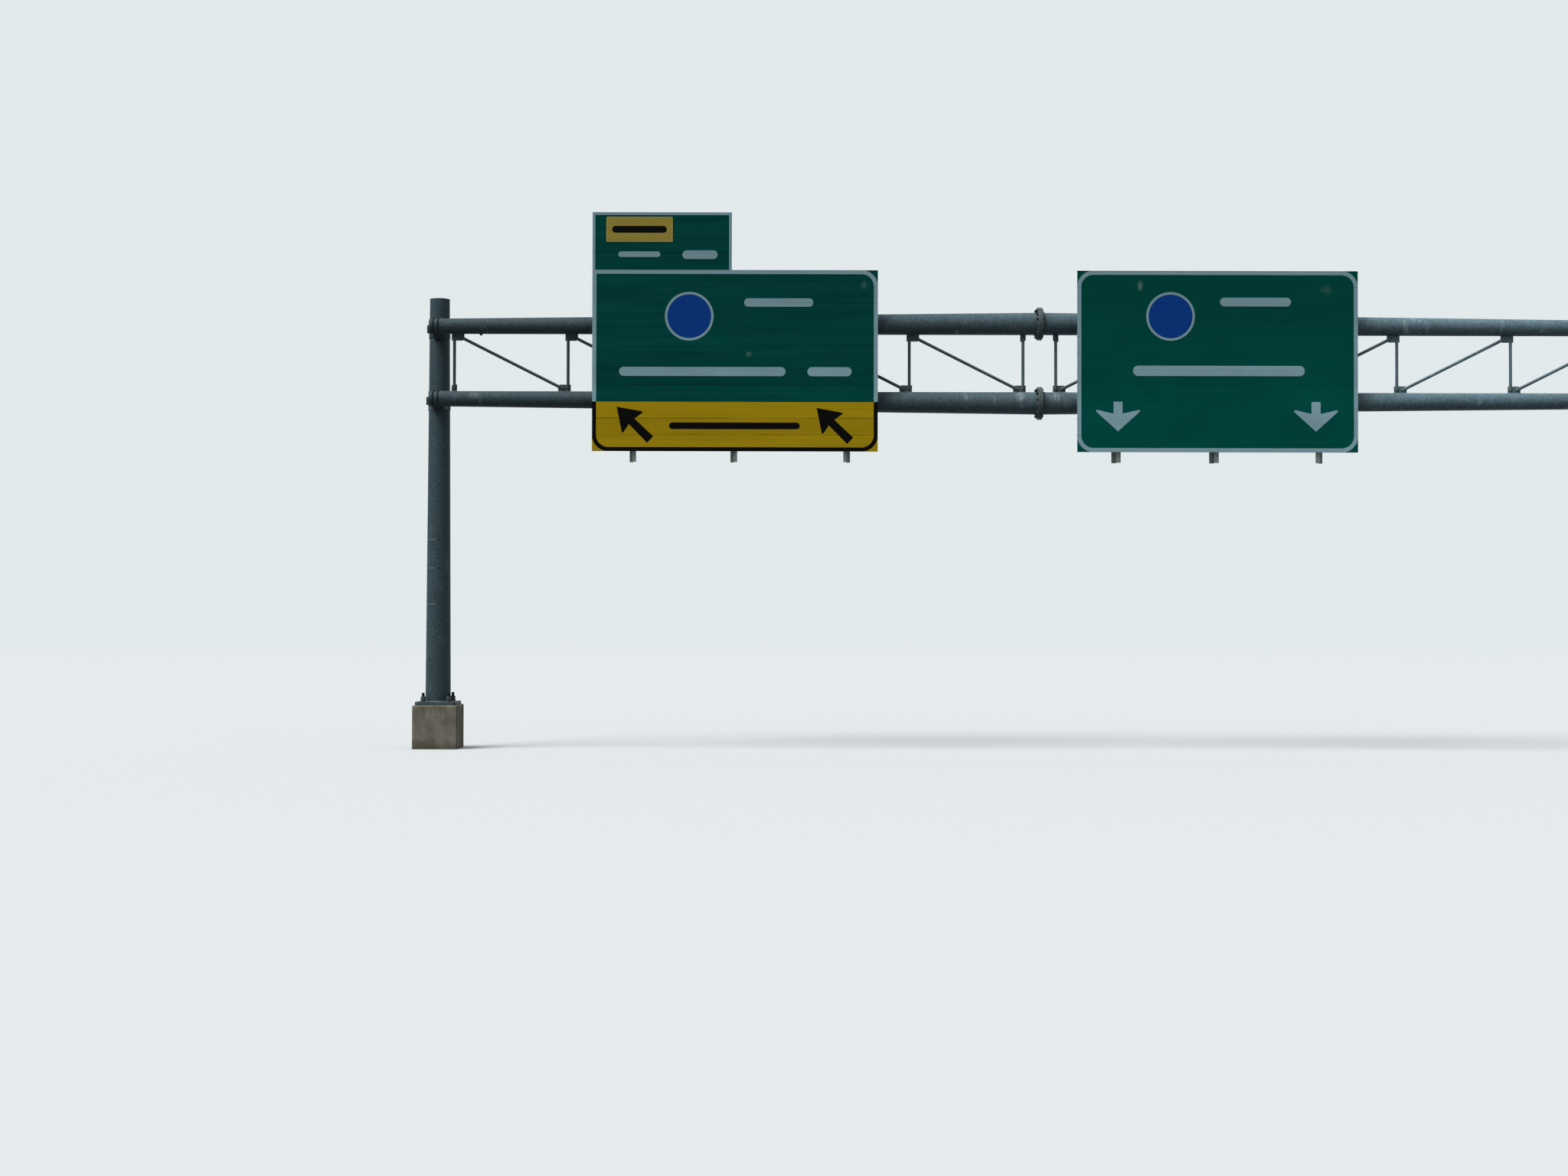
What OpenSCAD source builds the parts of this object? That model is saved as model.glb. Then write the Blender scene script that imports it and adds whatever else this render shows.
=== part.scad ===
// Overhead sign gantry. Two tapered poles on concrete footings carry a flat truss of two
// tapered round chords, and two guide signs of extruded planks hang in front of the chords.
// Millimetres, +Z up. The origin is the middle of the left footing's underside, +X runs
// to the right footing, and the signs face -Y.

/* [Span] */
// Distance between the axes of the two poles
span = 22500; // [20000:100:26000]
// Height of the truss's middle line above the footings' undersides
truss_level = 7205; // [6800:5:7800]

/* [Footings] */
// Width and depth of each concrete footing
footing_w = 840; // [800:10:1200]
// Height of each footing
footing_h = 813; // [700:1:1100]
// Bevel on the footing's upper and upright edges
footing_bevel = 20; // [5:1:35]

/* [Base plates] */
// Width of the square base plate
base_plate_w = 760; // [740:10:780]
// Thickness of the base plate
base_plate_t = 64; // [40:1:90]
// Corner cut of the base plate
base_plate_cut = 45; // [10:1:70]
// Hole in the middle of the base plate
base_plate_bore = 300; // [150:5:400]

/* [Anchor bolts] */
// Diameter of the anchor rods
anchor_d = 57; // [36:1:64]
// Side of the square that the four rods stand on
anchor_square = 480; // [470:5:540]
// Length of rod inside the concrete
anchor_depth = 600; // [300:10:680]
// Length of rod above the upper nut
anchor_tip = 70; // [20:1:110]

/* [Poles] */
// Outer diameter at the base plate
pole_base_d = 470; // [440:5:480]
// Outer diameter at the cap
pole_top_d = 370; // [320:5:400]
// Wall of the pole
pole_wall = 9.5; // [6:0.5:16]
// Height of the pole's top above the upper chord's axis
pole_head = 567; // [300:1:900]
// Thickness of the flat pole cap
pole_cap_t = 12; // [6:1:25]
// Amount by which the cap is wider than the pole's top
pole_cap_lip = 8; // [0:1:30]
// Cable hole in the pole's front
cable_hole_d = 40; // [20:1:50]
// Drop of the cable hole below the upper chord's axis
cable_hole_drop = 222; // [215:1:300]

/* [Chords] */
// Clear gap between the two chords
chord_gap = 1067; // [850:1:1300]
// Outer diameter of a chord at its outer end
chord_end_d = 284; // [260:1:310]
// Growth of the chord's diameter per metre
chord_taper = 11.67; // [6:0.01:13]
// Wall of the chords
chord_wall = 6.4; // [4:0.1:12]
// Length of chord past the pole's axis
chord_tail = 110; // [90:1:220]
// Thickness of the chord's end cap
end_cap_t = 8; // [4:1:20]
// Place of the cable plug, from the left pole's axis
cable_plug_x = 840; // [560:5:2000]
// Diameter of the cable plug
cable_plug_d = 60; // [30:1:80]

/* [Splice] */
// Outer diameter of the splice flanges
flange_d = 608; // [590:1:620]
// Thickness of each flange
flange_t = 43; // [25:1:60]
// Diameter of the bolt circle
flange_circle = 500; // [495:1:515]
// Number of bolts in a splice
flange_bolts = 12; // [6:1:14]
// Diameter of the splice bolts
flange_bolt_d = 30; // [20:1:33]

/* [Web] */
// Length of a truss panel
panel = 2120; // [1600:5:2200]
// Distance between the two verticals beside the splice
splice_bay = 610; // [480:5:900]
// Outer diameter of the web pipes
web_d = 57; // [42:1:70]
// Wall of the web pipes
web_wall = 5; // [3:0.5:8]
// Thickness of the gusset plates
gusset_t = 12; // [8:1:20]
// Depth of the gusset plates
gusset_h = 125; // [110:1:160]
// Half width of a gusset beside its vertical
gusset_side = 52; // [45:1:70]
// Reach of a gusset towards its diagonal
gusset_reach = 184; // [170:1:230]
// Corner cut of the gussets
gusset_cut = 32; // [5:1:40]
// Length of web pipe that is slotted over a gusset
web_lap = 78; // [40:1:95]

/* [Pole saddles] */
// Thickness of the shell and the rear band on the pole
band_t = 12; // [8:1:20]
// Height of the saddle
saddle_h = 366; // [364:1:400]
// Height of the rear band and its ears
band_h = 150; // [110:1:200]
// Reach of the ears past the band
ear_reach = 36; // [34:1:60]
// Thickness of the ears
ear_t = 20; // [12:1:30]
// Half of the gap between the front and the rear ears
ear_gap = 5; // [2:1:12]
// Diameter of the ear bolts
ear_bolt_d = 20; // [12:1:22]
// Width of the saddle's front plate
saddle_w = 240; // [220:1:300]
// Thickness of the saddle's front plate
saddle_plate_t = 25; // [16:1:40]
// Room for the nuts between the lower saddle's shell and its front plate
nut_room = 40; // [36:1:80]
// Thickness of the saddle's side ribs
saddle_rib_t = 16; // [10:1:25]
// Width of the shaped seat under the chord
cradle_w = 160; // [140:1:200]
// Thickness of the shaped seat at its middle
cradle_t = 12; // [6:1:30]
// Diameter of the saddle's U-bolts
u_bolt_d = 22; // [16:1:26]
// Distance between the two U-bolts of a saddle
u_bolt_pitch = 92; // [80:1:110]

/* [Sign planks] */
// Height of a sign plank
plank_h = 304.8; // [250:0.1:330]
// Depth of a sign plank
plank_depth = 50.8; // [40:0.1:70]
// Face thickness of a plank
plank_face = 3.2; // [2:0.1:6]
// Flange thickness of a plank
plank_flange = 4.5; // [3:0.1:8]
// Width of the lips behind a plank
plank_lip = 16; // [8:1:30]
// Number of planks in each large sign
sign_planks = 11; // [9:1:12]
// Number of those planks that make the exit sign's lowest band
lane_planks = 3; // [2:1:4]
// Number of whole planks in the exit tab, under its half plank
tab_planks = 3; // [2:1:4]

/* [Signs] */
// Width of the exit sign
exit_sign_w = 5275; // [4900:5:5600]
// Place of the exit sign's middle, from the left pole's axis
exit_sign_x = 5585; // [5300:5:5700]
// Width of the exit tab
tab_w = 2575; // [2200:5:3000]
// Width of the through sign
through_sign_w = 5182; // [4900:2:5600]
// Distance of the through sign's middle to the right of the splice
through_sign_offset = 3245; // [3200:5:3600]

/* [Hangers] */
// Depth of the hangers, front to back
hanger_depth = 127; // [100:1:160]
// Thickness of the hangers
hanger_t = 8; // [6:0.5:12]
// Flange width of the exit sign's hangers
exit_flange = 68; // [60:1:90]
// Flange width of the through sign's hangers
through_flange = 82; // [60:1:100]
// Length of hanger below a sign
hanger_drop = 195; // [80:1:300]
// Inset of the exit sign's outer left hanger
exit_left_inset = 750; // [600:5:900]
// Inset of the exit sign's middle hanger, from the sign's left edge
exit_middle_inset = 2617; // [2500:1:2900]
// Inset of the exit sign's outer right hanger, from the right edge
exit_right_inset = 570; // [450:5:750]
// Inset of the through sign's left hanger
through_left_inset = 732; // [640:1:860]
// Inset of the through sign's middle hanger, from the sign's left edge
through_middle_inset = 2545; // [2400:5:2800]
// Inset of the through sign's right hanger, from the right edge
through_right_inset = 694; // [560:1:860]
// Inset of the tab's short post, from the tab's right edge
tab_post_inset = 600; // [400:5:900]
// Length of the tab's short post behind the exit sign
tab_post_lap = 900; // [500:10:1200]
// Height of the shaped seats between chord and hanger
seat_h = 200; // [140:1:220]
// Least thickness of a hanger seat
seat_t = 10; // [4:1:30]
// Diameter of the hangers' U-bolts
hanger_bolt_d = 19; // [12:1:22]

/* [Hidden] */
$fn = 64;

// Clearance between curved pieces that seat on each other
seat_gap = 0.3;
// Gap left between neighbouring sign planks, between flanges, and under the gussets' welds
joint_gap = 0.4;
// Radial clearance of bolts in their holes
hole_room = 1.5;
// Length by which cutting solids run past what they cut
past = 20;

// Galvanised steel, aluminium, concrete and sheeting colours
steel = [0.42, 0.46, 0.48];
dark_steel = [0.3, 0.33, 0.35];
light_steel = [0.58, 0.6, 0.6];
concrete = [0.58, 0.55, 0.5];
sign_green = [0.0, 0.3, 0.24];
sign_yellow = [0.85, 0.68, 0.05];

// Turn of the jam nuts against the nuts under them
jam_turn = 17;

// Hexagon sizes that go with a bolt of diameter d: width across flats, nut and head heights
function hex_flats(d) = 1.55 * d;
function nut_height(d) = 0.98 * d;
function jam_height(d) = 0.56 * d;
function head_height(d) = 0.64 * d;
function washer_height(d) = 0.14 * d;
function washer_width(d) = 1.85 * d;

base_top = footing_h + base_plate_t;
chord_rise = chord_taper / 2000;
chord_slope = atan(chord_rise);
chord_edge = truss_level + chord_gap / 2;

// Radius of a left-half chord at distance x from the pole's axis
function chord_r(x) = chord_end_d / 2 + chord_rise * (x + chord_tail);
// Radius of a chord anywhere along the span
function chord_r_at(x) = chord_r(min(x, span - x));

chord_start_z = chord_edge + chord_end_d / 2;
upper_axis = chord_edge + chord_r(0);
lower_axis = 2 * truss_level - upper_axis;
pole_top = upper_axis + pole_head;
pole_len = pole_top - pole_cap_t - base_top;

// Outer radius of a pole at height z
function pole_r(z) = pole_base_d / 2 - (pole_base_d - pole_top_d) / 2 * (z - base_top) / pole_len;

// The front plates of all four saddles stand in one plane, set by the lower saddle's nut room
saddle_back = -(pole_r(lower_axis) + band_t + nut_room);
saddle_front = saddle_back - saddle_plate_t;
chord_y = saddle_front - cradle_t - chord_r(0);

// Least distance from a pole's axis to the first vertical
end_bay = 300;
inner_vertical = (span - splice_bay) / 2;
panels = floor((inner_vertical - end_bay) / panel);
// Distance of vertical k from the pole's axis in one half of the truss
function vertical_x(k) = inner_vertical - (panels - k) * panel;
brace_angle = atan(chord_gap / panel);
// Distance from a diagonal's working point to the end of its pipe
brace_start = 105;
brace_len = chord_gap / sin(brace_angle) - 2 * brace_start;
brace_lap = gusset_reach * cos(brace_angle) + (gusset_h - gusset_cut) * sin(brace_angle) - brace_start + 1;

exit_left = exit_sign_x - exit_sign_w / 2;
through_left = span / 2 + through_sign_offset - through_sign_w / 2;
exit_hangers = [
    exit_left + exit_left_inset,
    exit_left + exit_middle_inset,
    exit_left + exit_sign_w - exit_right_inset
];
through_hangers = [
    through_left + through_left_inset,
    through_left + through_middle_inset,
    through_left + through_sign_w - through_right_inset
];
// The first two hangers of a sign have their rear flange on the left, the third on the right
hanger_hand = [1, 1, -1];

sign_h = sign_planks * plank_h;
sign_bottom = truss_level - sign_h / 2;
sign_top = truss_level + sign_h / 2;
tab_h = (tab_planks + 0.5) * plank_h;
widest_seat = max([for (x = concat(exit_hangers, through_hangers)) chord_r_at(x)]);
hanger_back = chord_y - widest_seat - seat_t;
sign_back = hanger_back - hanger_depth - seat_gap;
sign_face = sign_back - plank_depth;

// Copies the children of the left half to the right half
module right_half() {
    translate([span, 0, 0])
        mirror([1, 0, 0])
            children();
}

// Turns a piece of the upper chord over to the lower chord
module lower_half() {
    translate([0, 0, 2 * truss_level])
        mirror([0, 0, 1])
            children();
}

// Square with its four corners cut
module cut_square(w, cut) {
    h = w / 2;
    c = h - cut;
    polygon([[c, -h], [h, -c], [h, c], [c, h], [-c, h], [-h, c], [-h, -c], [-c, -h]]);
}

// Straight bolt along +Z from the seat of its head at z = 0, with its nut at the far end of the grip
module bolt(d, grip, tail) {
    flats = hex_flats(d);
    washer = washer_height(d);
    translate([0, 0, -washer - head_height(d)])
        cylinder(h = head_height(d), d = flats / cos(30), $fn = 6);
    translate([0, 0, -washer])
        cylinder(h = washer, d = washer_width(d));
    translate([0, 0, -washer - 1])
        cylinder(h = grip + 2 * washer + nut_height(d) + tail + 1, d = d);
    translate([0, 0, grip])
        cylinder(h = washer, d = washer_width(d));
    translate([0, 0, grip + washer])
        cylinder(h = nut_height(d), d = flats / cos(30), $fn = 6);
}

// U-bolt round a pipe of radius r at the origin: bend towards -Y, legs along +Y to the plate
// face at distance reach, then a washer, a nut and the end of the thread
module u_bolt(d, r, reach, plate) {
    bend = r + seat_gap + d / 2;
    nut_at = reach + plate;
    rotate([0, -90, 0]) {
        rotate([0, 0, 180])
            rotate_extrude(angle = 180)
                translate([bend, 0])
                    circle(d = d);
        for (side = [-1, 1])
            translate([side * bend, 0, 0])
                rotate([-90, 0, 0]) {
                    cylinder(h = nut_at + washer_height(d) + nut_height(d) + d / 3, d = d);
                    translate([0, 0, nut_at])
                        cylinder(h = washer_height(d), d = washer_width(d));
                    translate([0, 0, nut_at + washer_height(d)])
                        cylinder(h = nut_height(d), d = hex_flats(d) / cos(30), $fn = 6);
                }
    }
}

// Concrete block under a pole, with bevelled edges and the holes of the anchor rods
module footing() {
    half = footing_w / 2;
    face = half - footing_bevel;
    shoulder = footing_h - footing_bevel;
    color(concrete)
        difference() {
            intersection() {
                linear_extrude(footing_h)
                    cut_square(footing_w, footing_bevel);
                for_sides(footing_w)
                    polygon([[-half, 0], [half, 0], [half, shoulder], [face, footing_h],
                        [-face, footing_h], [-half, shoulder]]);
            }
            anchor_places()
                translate([0, 0, footing_h - anchor_depth - seat_gap])
                    cylinder(h = anchor_depth + past, d = anchor_d + 2 * seat_gap);
        }
}

// Outline that is run along X and along Y, and kept where both runs meet
module for_sides(w) {
    intersection() {
        rotate([90, 0, 0])
            linear_extrude(w + 2 * past, center = true)
                children();
        rotate([90, 0, 90])
            linear_extrude(w + 2 * past, center = true)
                children();
    }
}

module anchor_places() {
    for (x = [-1, 1], y = [-1, 1])
        translate([x * anchor_square / 2, y * anchor_square / 2, 0])
            children();
}

module base_plate() {
    color(steel)
        translate([0, 0, footing_h])
            difference() {
                linear_extrude(base_plate_t)
                    cut_square(base_plate_w, base_plate_cut);
                translate([0, 0, -past])
                    cylinder(h = base_plate_t + 2 * past, d = base_plate_bore);
                anchor_places()
                    translate([0, 0, -past])
                        cylinder(h = base_plate_t + 2 * past, d = anchor_d + 6 * hole_room);
            }
}

// Four rods with a plate washer, a heavy nut and a jam nut each
module anchor_bolts() {
    washer = washer_height(anchor_d);
    nut = nut_height(anchor_d);
    jam = jam_height(anchor_d);
    corners = hex_flats(anchor_d) / cos(30);
    color(dark_steel)
        anchor_places() {
            translate([0, 0, footing_h - anchor_depth])
                cylinder(h = anchor_depth + base_plate_t + washer + nut + jam + anchor_tip, d = anchor_d);
            translate([0, 0, base_top])
                cylinder(h = washer, d = washer_width(anchor_d));
            translate([0, 0, base_top + washer])
                cylinder(h = nut, d = corners, $fn = 6);
            translate([0, 0, base_top + washer + nut])
                rotate([0, 0, jam_turn])
                    cylinder(h = jam, d = corners, $fn = 6);
        }
}

// Solid cone in the shape of a pole's outside, grown by a clearance
module pole_form(room) {
    translate([0, 0, base_top])
        cylinder(h = pole_len, d1 = pole_base_d + 2 * room, d2 = pole_top_d + 2 * room);
}

module pole() {
    color(steel)
        difference() {
            pole_form(0);
            pole_form(-pole_wall);
            translate([0, 0, base_top - 1])
                cylinder(h = 2, d = pole_base_d - 2 * pole_wall);
            translate([0, 0, pole_top - pole_cap_t - 1])
                cylinder(h = 2, d = pole_top_d - 2 * pole_wall);
            translate([0, 0, upper_axis - cable_hole_drop])
                rotate([90, 0, 0])
                    cylinder(h = pole_base_d, d = cable_hole_d);
        }
}

module pole_cap() {
    translate([0, 0, pole_top - pole_cap_t])
        cylinder(h = pole_cap_t, d = pole_top_d + pole_cap_lip);
}

module pole_caps() {
    color(steel) {
        pole_cap();
        right_half() pole_cap();
    }
}

// Solid cone in the shape of the upper left chord's outside, grown by a clearance
module chord_form(room) {
    run = span / 2 + chord_tail + past;
    translate([-chord_tail, chord_y, chord_start_z])
        rotate([0, 90 - chord_slope, 0])
            cylinder(
                h = run / cos(chord_slope),
                r1 = chord_end_d / 2 + room,
                r2 = chord_end_d / 2 + chord_rise * run + room
            );
}

// Tapered tube of half a chord. Its inner edge is level, so its axis slopes with the taper.
module chord() {
    color(steel)
        difference() {
            chord_form(0);
            chord_form(-chord_wall);
            translate([-chord_tail, chord_y, chord_start_z])
                rotate([0, 90 - chord_slope, 0])
                    translate([0, 0, -1])
                        cylinder(h = 2, r = chord_end_d / 2 - chord_wall);
            translate([span / 2 - flange_t - joint_gap / 2, chord_y - flange_d / 2, truss_level])
                cube([2 * past + flange_t, flange_d, chord_gap / 2 + flange_d]);
        }
}

module chord_end_cap() {
    translate([-chord_tail, chord_y, chord_start_z])
        rotate([0, 90 - chord_slope, 0])
            translate([0, 0, -end_cap_t])
                cylinder(h = end_cap_t, r = chord_end_d / 2);
}

module chord_end_caps() {
    color(steel) {
        chord_end_cap();
        lower_half() chord_end_cap();
        right_half() {
            chord_end_cap();
            lower_half() chord_end_cap();
        }
    }
}

// Coupling with a threaded plug, the cable outlet in the chord's underside
module cable_plug() {
    collar = cable_plug_d / 4;
    color(dark_steel)
        difference() {
            translate([cable_plug_x, chord_y, chord_edge])
                mirror([0, 0, 1]) {
                    translate([0, 0, -collar])
                        cylinder(h = 2 * collar, d = cable_plug_d);
                    translate([0, 0, collar])
                        cylinder(h = collar, d1 = cable_plug_d * 0.75, d2 = cable_plug_d * 0.5);
                }
            chord_form(seat_gap);
        }
}

splice_axis = chord_edge + chord_r(span / 2 - flange_t);

// Two flange rings face to face at the middle of the span
module splice_flanges() {
    color(steel)
        for (left = [-flange_t - joint_gap / 2, joint_gap / 2])
            translate([span / 2 + left, chord_y, splice_axis])
                rotate([0, 90, 0])
                    difference() {
                        cylinder(h = flange_t, d = flange_d);
                        translate([0, 0, -past])
                            cylinder(h = flange_t + 2 * past, r = chord_r(span / 2) - 3 * chord_wall);
                        for (i = [0 : flange_bolts - 1])
                            rotate([0, 0, splice_angle(i)])
                                translate([flange_circle / 2, 0, -past])
                                    cylinder(h = flange_t + 2 * past, d = flange_bolt_d + 2 * hole_room);
                    }
}

function splice_angle(i) = (i + 0.5) * 360 / flange_bolts;

// Splice bolts with their heads on the right and their nuts on the left
module splice_bolt_ring() {
    translate([span / 2 + flange_t + joint_gap / 2, chord_y, splice_axis])
        rotate([0, -90, 0])
            for (i = [0 : flange_bolts - 1])
                rotate([0, 0, splice_angle(i)])
                    translate([flange_circle / 2, 0, 0])
                        bolt(flange_bolt_d, 2 * flange_t + joint_gap, flange_bolt_d / 3);
}

module splice_bolts() {
    color(dark_steel) {
        splice_bolt_ring();
        lower_half() splice_bolt_ring();
    }
}

// Gusset under the upper chord, its free corners cut. With a reach it also takes a diagonal.
module gusset(reach) {
    translate([0, chord_y + gusset_t / 2, chord_edge - joint_gap / 2])
        rotate([90, 0, 0])
            linear_extrude(gusset_t)
                polygon([
                    [-gusset_side, 0],
                    [reach, 0],
                    [reach, gusset_cut - gusset_h],
                    [reach - gusset_cut, -gusset_h],
                    [-gusset_side, -gusset_h]
                ]);
}

module upper_gusset_row() {
    for (k = [0 : panels])
        translate([vertical_x(k), 0, 0])
            gusset(k < panels ? gusset_reach : gusset_side);
}

module lower_gusset_row() {
    lower_half()
        for (k = [0 : panels])
            translate([vertical_x(k), 0, 0])
                mirror([1, 0, 0])
                    gusset(k > 0 ? gusset_reach : gusset_side);
}

module upper_gussets() {
    color(steel) {
        upper_gusset_row();
        right_half() upper_gusset_row();
    }
}

module lower_gussets() {
    color(steel) {
        lower_gusset_row();
        right_half() lower_gusset_row();
    }
}

// Pipe along +Z from the origin, slotted at both ends over plates that lie across Y
module slotted_pipe(length, lap) {
    difference() {
        cylinder(h = length, d = web_d);
        translate([0, 0, -past])
            cylinder(h = length + 2 * past, d = web_d - 2 * web_wall);
        for (z = [-past, length - lap])
            translate([-web_d, -gusset_t / 2 - seat_gap, z])
                cube([2 * web_d, gusset_t + 2 * seat_gap, lap + past]);
    }
}

// The slot is 1 mm longer than the lap, so the pipe doesn't touch the gusset's edge
module verticals() {
    set_in = gusset_h - web_lap + joint_gap / 2;
    color(steel)
        for (k = [0 : panels])
            translate([vertical_x(k), chord_y, truss_level - chord_gap / 2 + set_in])
                slotted_pipe(chord_gap - 2 * set_in, web_lap + 1);
}

// Each diagonal falls from the outer end of its panel at the upper chord to the inner end
// at the lower chord, on the line through the points where the verticals' axes meet the chords
module diagonals() {
    color(steel)
        for (k = [0 : panels - 1])
            translate([vertical_x(k), chord_y, chord_edge])
                rotate([0, 90 + brace_angle, 0])
                    translate([0, 0, brace_start])
                        slotted_pipe(brace_len, brace_lap);
}

// Welded saddle between a pole and a chord, given the height of the chord's axis there.
// The children are the chord's form, which the shaped seat is cut to.
module saddle(z) {
    r = pole_r(z);
    bend = chord_r(0) + seat_gap + u_bolt_d / 2;
    color(steel)
        difference() {
            union() {
                translate([0, 0, z])
                    intersection() {
                        cylinder(h = saddle_h, r = r + band_t, center = true);
                        translate([0, -ear_gap - r, 0])
                            cube([3 * r, 2 * r, saddle_h], center = true);
                    }
                for (side = [-1, 1]) {
                    translate([side * (r + ear_reach) / 2 + side * band_t / 2, -ear_gap - ear_t / 2, z])
                        cube([r + ear_reach + band_t, ear_t, band_h], center = true);
                    translate([side * (saddle_w / 2 - 2 * saddle_rib_t), saddle_back / 2, z])
                        cube([saddle_rib_t, -saddle_back, saddle_h], center = true);
                }
                translate([-saddle_w / 2, saddle_front, z - saddle_h / 2])
                    cube([saddle_w, saddle_plate_t, saddle_h]);
                translate([-cradle_w / 2, chord_y, z - seat_h / 2])
                    cube([cradle_w, saddle_front - chord_y, seat_h]);
            }
            pole_form(seat_gap);
            children();
            for (x = [-1, 1] * u_bolt_pitch / 2, up = [-1, 1])
                translate([x, saddle_back + 1, z + up * bend])
                    rotate([90, 0, 0])
                        cylinder(h = saddle_plate_t + 2, d = u_bolt_d + 2 * hole_room);
            ear_places(z, r)
                rotate([-90, 0, 0])
                    cylinder(h = 2 * past + 2 * ear_t, d = ear_bolt_d + 2 * hole_room, center = true);
        }
}

module upper_saddle() {
    saddle(upper_axis)
        chord_form(seat_gap);
}

module lower_saddle() {
    saddle(lower_axis)
        lower_half()
            chord_form(seat_gap);
}

// Middles of the four ear bolts at height z, for a pole of radius r there
module ear_places(z, r) {
    for (side = [-1, 1], up = [-1, 1])
        translate([side * (r + band_t + ear_reach / 2), 0, z + up * band_h / 4])
            children();
}

// Rear half band with its two ears
module rear_band(z) {
    r = pole_r(z);
    difference() {
        union() {
            translate([0, 0, z])
                intersection() {
                    cylinder(h = band_h, r = r + band_t, center = true);
                    translate([0, ear_gap + r, 0])
                        cube([3 * r, 2 * r, band_h], center = true);
                }
            for (side = [-1, 1])
                translate([side * (r + ear_reach + band_t) / 2, ear_gap + ear_t / 2, z])
                    cube([r + ear_reach + band_t, ear_t, band_h], center = true);
        }
        pole_form(seat_gap);
        ear_places(z, r)
            rotate([-90, 0, 0])
                cylinder(h = 2 * past + 2 * ear_t, d = ear_bolt_d + 2 * hole_room, center = true);
    }
}

module rear_bands() {
    color(steel) {
        rear_band(upper_axis);
        rear_band(lower_axis);
    }
}

module ear_bolt_set() {
    for (z = [upper_axis, lower_axis])
        ear_places(z, pole_r(z))
            translate([0, -ear_gap - ear_t, 0])
                rotate([-90, 0, 0])
                    bolt(ear_bolt_d, 2 * (ear_gap + ear_t), ear_bolt_d / 3);
}

module ear_bolts() {
    color(dark_steel) {
        ear_bolt_set();
        right_half() ear_bolt_set();
    }
}

// Two U-bolts round the chord at each saddle
module saddle_u_bolt_set() {
    for (x = [-1, 1] * u_bolt_pitch / 2)
        translate([x, chord_y, chord_edge + chord_r(x)])
            u_bolt(u_bolt_d, chord_r(x), saddle_front - chord_y, saddle_plate_t);
}

module saddle_u_bolts() {
    color(dark_steel) {
        saddle_u_bolt_set();
        lower_half() saddle_u_bolt_set();
        right_half() {
            saddle_u_bolt_set();
            lower_half() saddle_u_bolt_set();
        }
    }
}

// Channel-shaped extrusion with turned lips and two ribs behind its face
module plank_outline(h) {
    rib = plank_depth / 2;
    square([plank_face, h]);
    for (z = [0, h - plank_flange])
        translate([0, z])
            square([plank_depth, plank_flange]);
    for (z = [0, h - plank_lip])
        translate([plank_depth - plank_flange, z])
            square([plank_flange, plank_lip]);
    for (z = [h / 3, 2 * h / 3]) {
        translate([0, z - plank_face / 2])
            square([rib, plank_face]);
        translate([rib - plank_face, z - plank_lip / 2])
            square([plank_face, plank_lip]);
    }
}

// One plank from x = left, its lower edge at height z
module plank(left, z, w, h) {
    translate([left, sign_face, z + joint_gap / 2])
        rotate([90, 0, 90])
            linear_extrude(w)
                plank_outline(h - joint_gap);
}

module exit_sign_planks() {
    color(sign_green)
        for (i = [lane_planks : sign_planks - 1])
            plank(exit_left, sign_bottom + i * plank_h, exit_sign_w, plank_h);
}

module lane_band_planks() {
    color(sign_yellow)
        for (i = [0 : lane_planks - 1])
            plank(exit_left, sign_bottom + i * plank_h, exit_sign_w, plank_h);
}

module exit_tab_planks() {
    color(sign_green) {
        for (i = [0 : tab_planks - 1])
            plank(exit_left, sign_top + i * plank_h, tab_w, plank_h);
        plank(exit_left, sign_top + tab_planks * plank_h, tab_w, plank_h / 2);
    }
}

module through_sign_planks() {
    color(sign_green)
        for (i = [0 : sign_planks - 1])
            plank(through_left, sign_bottom + i * plank_h, through_sign_w, plank_h);
}

// Z-shaped hanger with its front flange to the right and its rear flange to the left.
// Its U-bolts pass through the middle of the rear flange, at the two chords.
module hanger(flange, foot, head, bolted, at) {
    front = hanger_back - hanger_depth;
    difference() {
        translate([0, 0, foot])
            linear_extrude(head - foot) {
                translate([-hanger_t / 2, front])
                    square([hanger_t, hanger_depth]);
                translate([-hanger_t / 2, front])
                    square([flange, hanger_t]);
                translate([hanger_t / 2 - flange, hanger_back - hanger_t])
                    square([flange, hanger_t]);
            }
        if (bolted)
            for (level = [-1, 1], leg = [-1, 1])
                translate([-flange / 2, hanger_back + past, hanger_leg_z(level, leg, at)])
                    rotate([90, 0, 0])
                        cylinder(h = hanger_t + 2 * past, d = hanger_bolt_d + 2 * hole_room);
    }
}

// Height of a leg of the U-bolt at distance x, at the lower (-1) or the upper (1) chord
function hanger_leg_z(level, leg, x) =
    truss_level
    + level * (chord_gap / 2 + chord_r_at(x))
    + leg * (chord_r_at(x) + seat_gap + hanger_bolt_d / 2);

module hanger_row(places, flange, heads) {
    color(light_steel)
        for (i = [0 : 2])
            translate([places[i], 0, 0])
                mirror([hanger_hand[i] < 0 ? 1 : 0, 0, 0])
                    hanger(flange, sign_bottom - hanger_drop, heads[i], true, bolt_x(places, flange, i));
}

// Distance from the left pole's axis of the U-bolts of hanger i
function bolt_x(places, flange, i) = places[i] - hanger_hand[i] * flange / 2;

module exit_sign_hangers() {
    hanger_row(exit_hangers, exit_flange, [sign_top + tab_h, sign_top, sign_top]);
}

module through_sign_hangers() {
    hanger_row(through_hangers, through_flange, [sign_top, sign_top, sign_top]);
}

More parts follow.
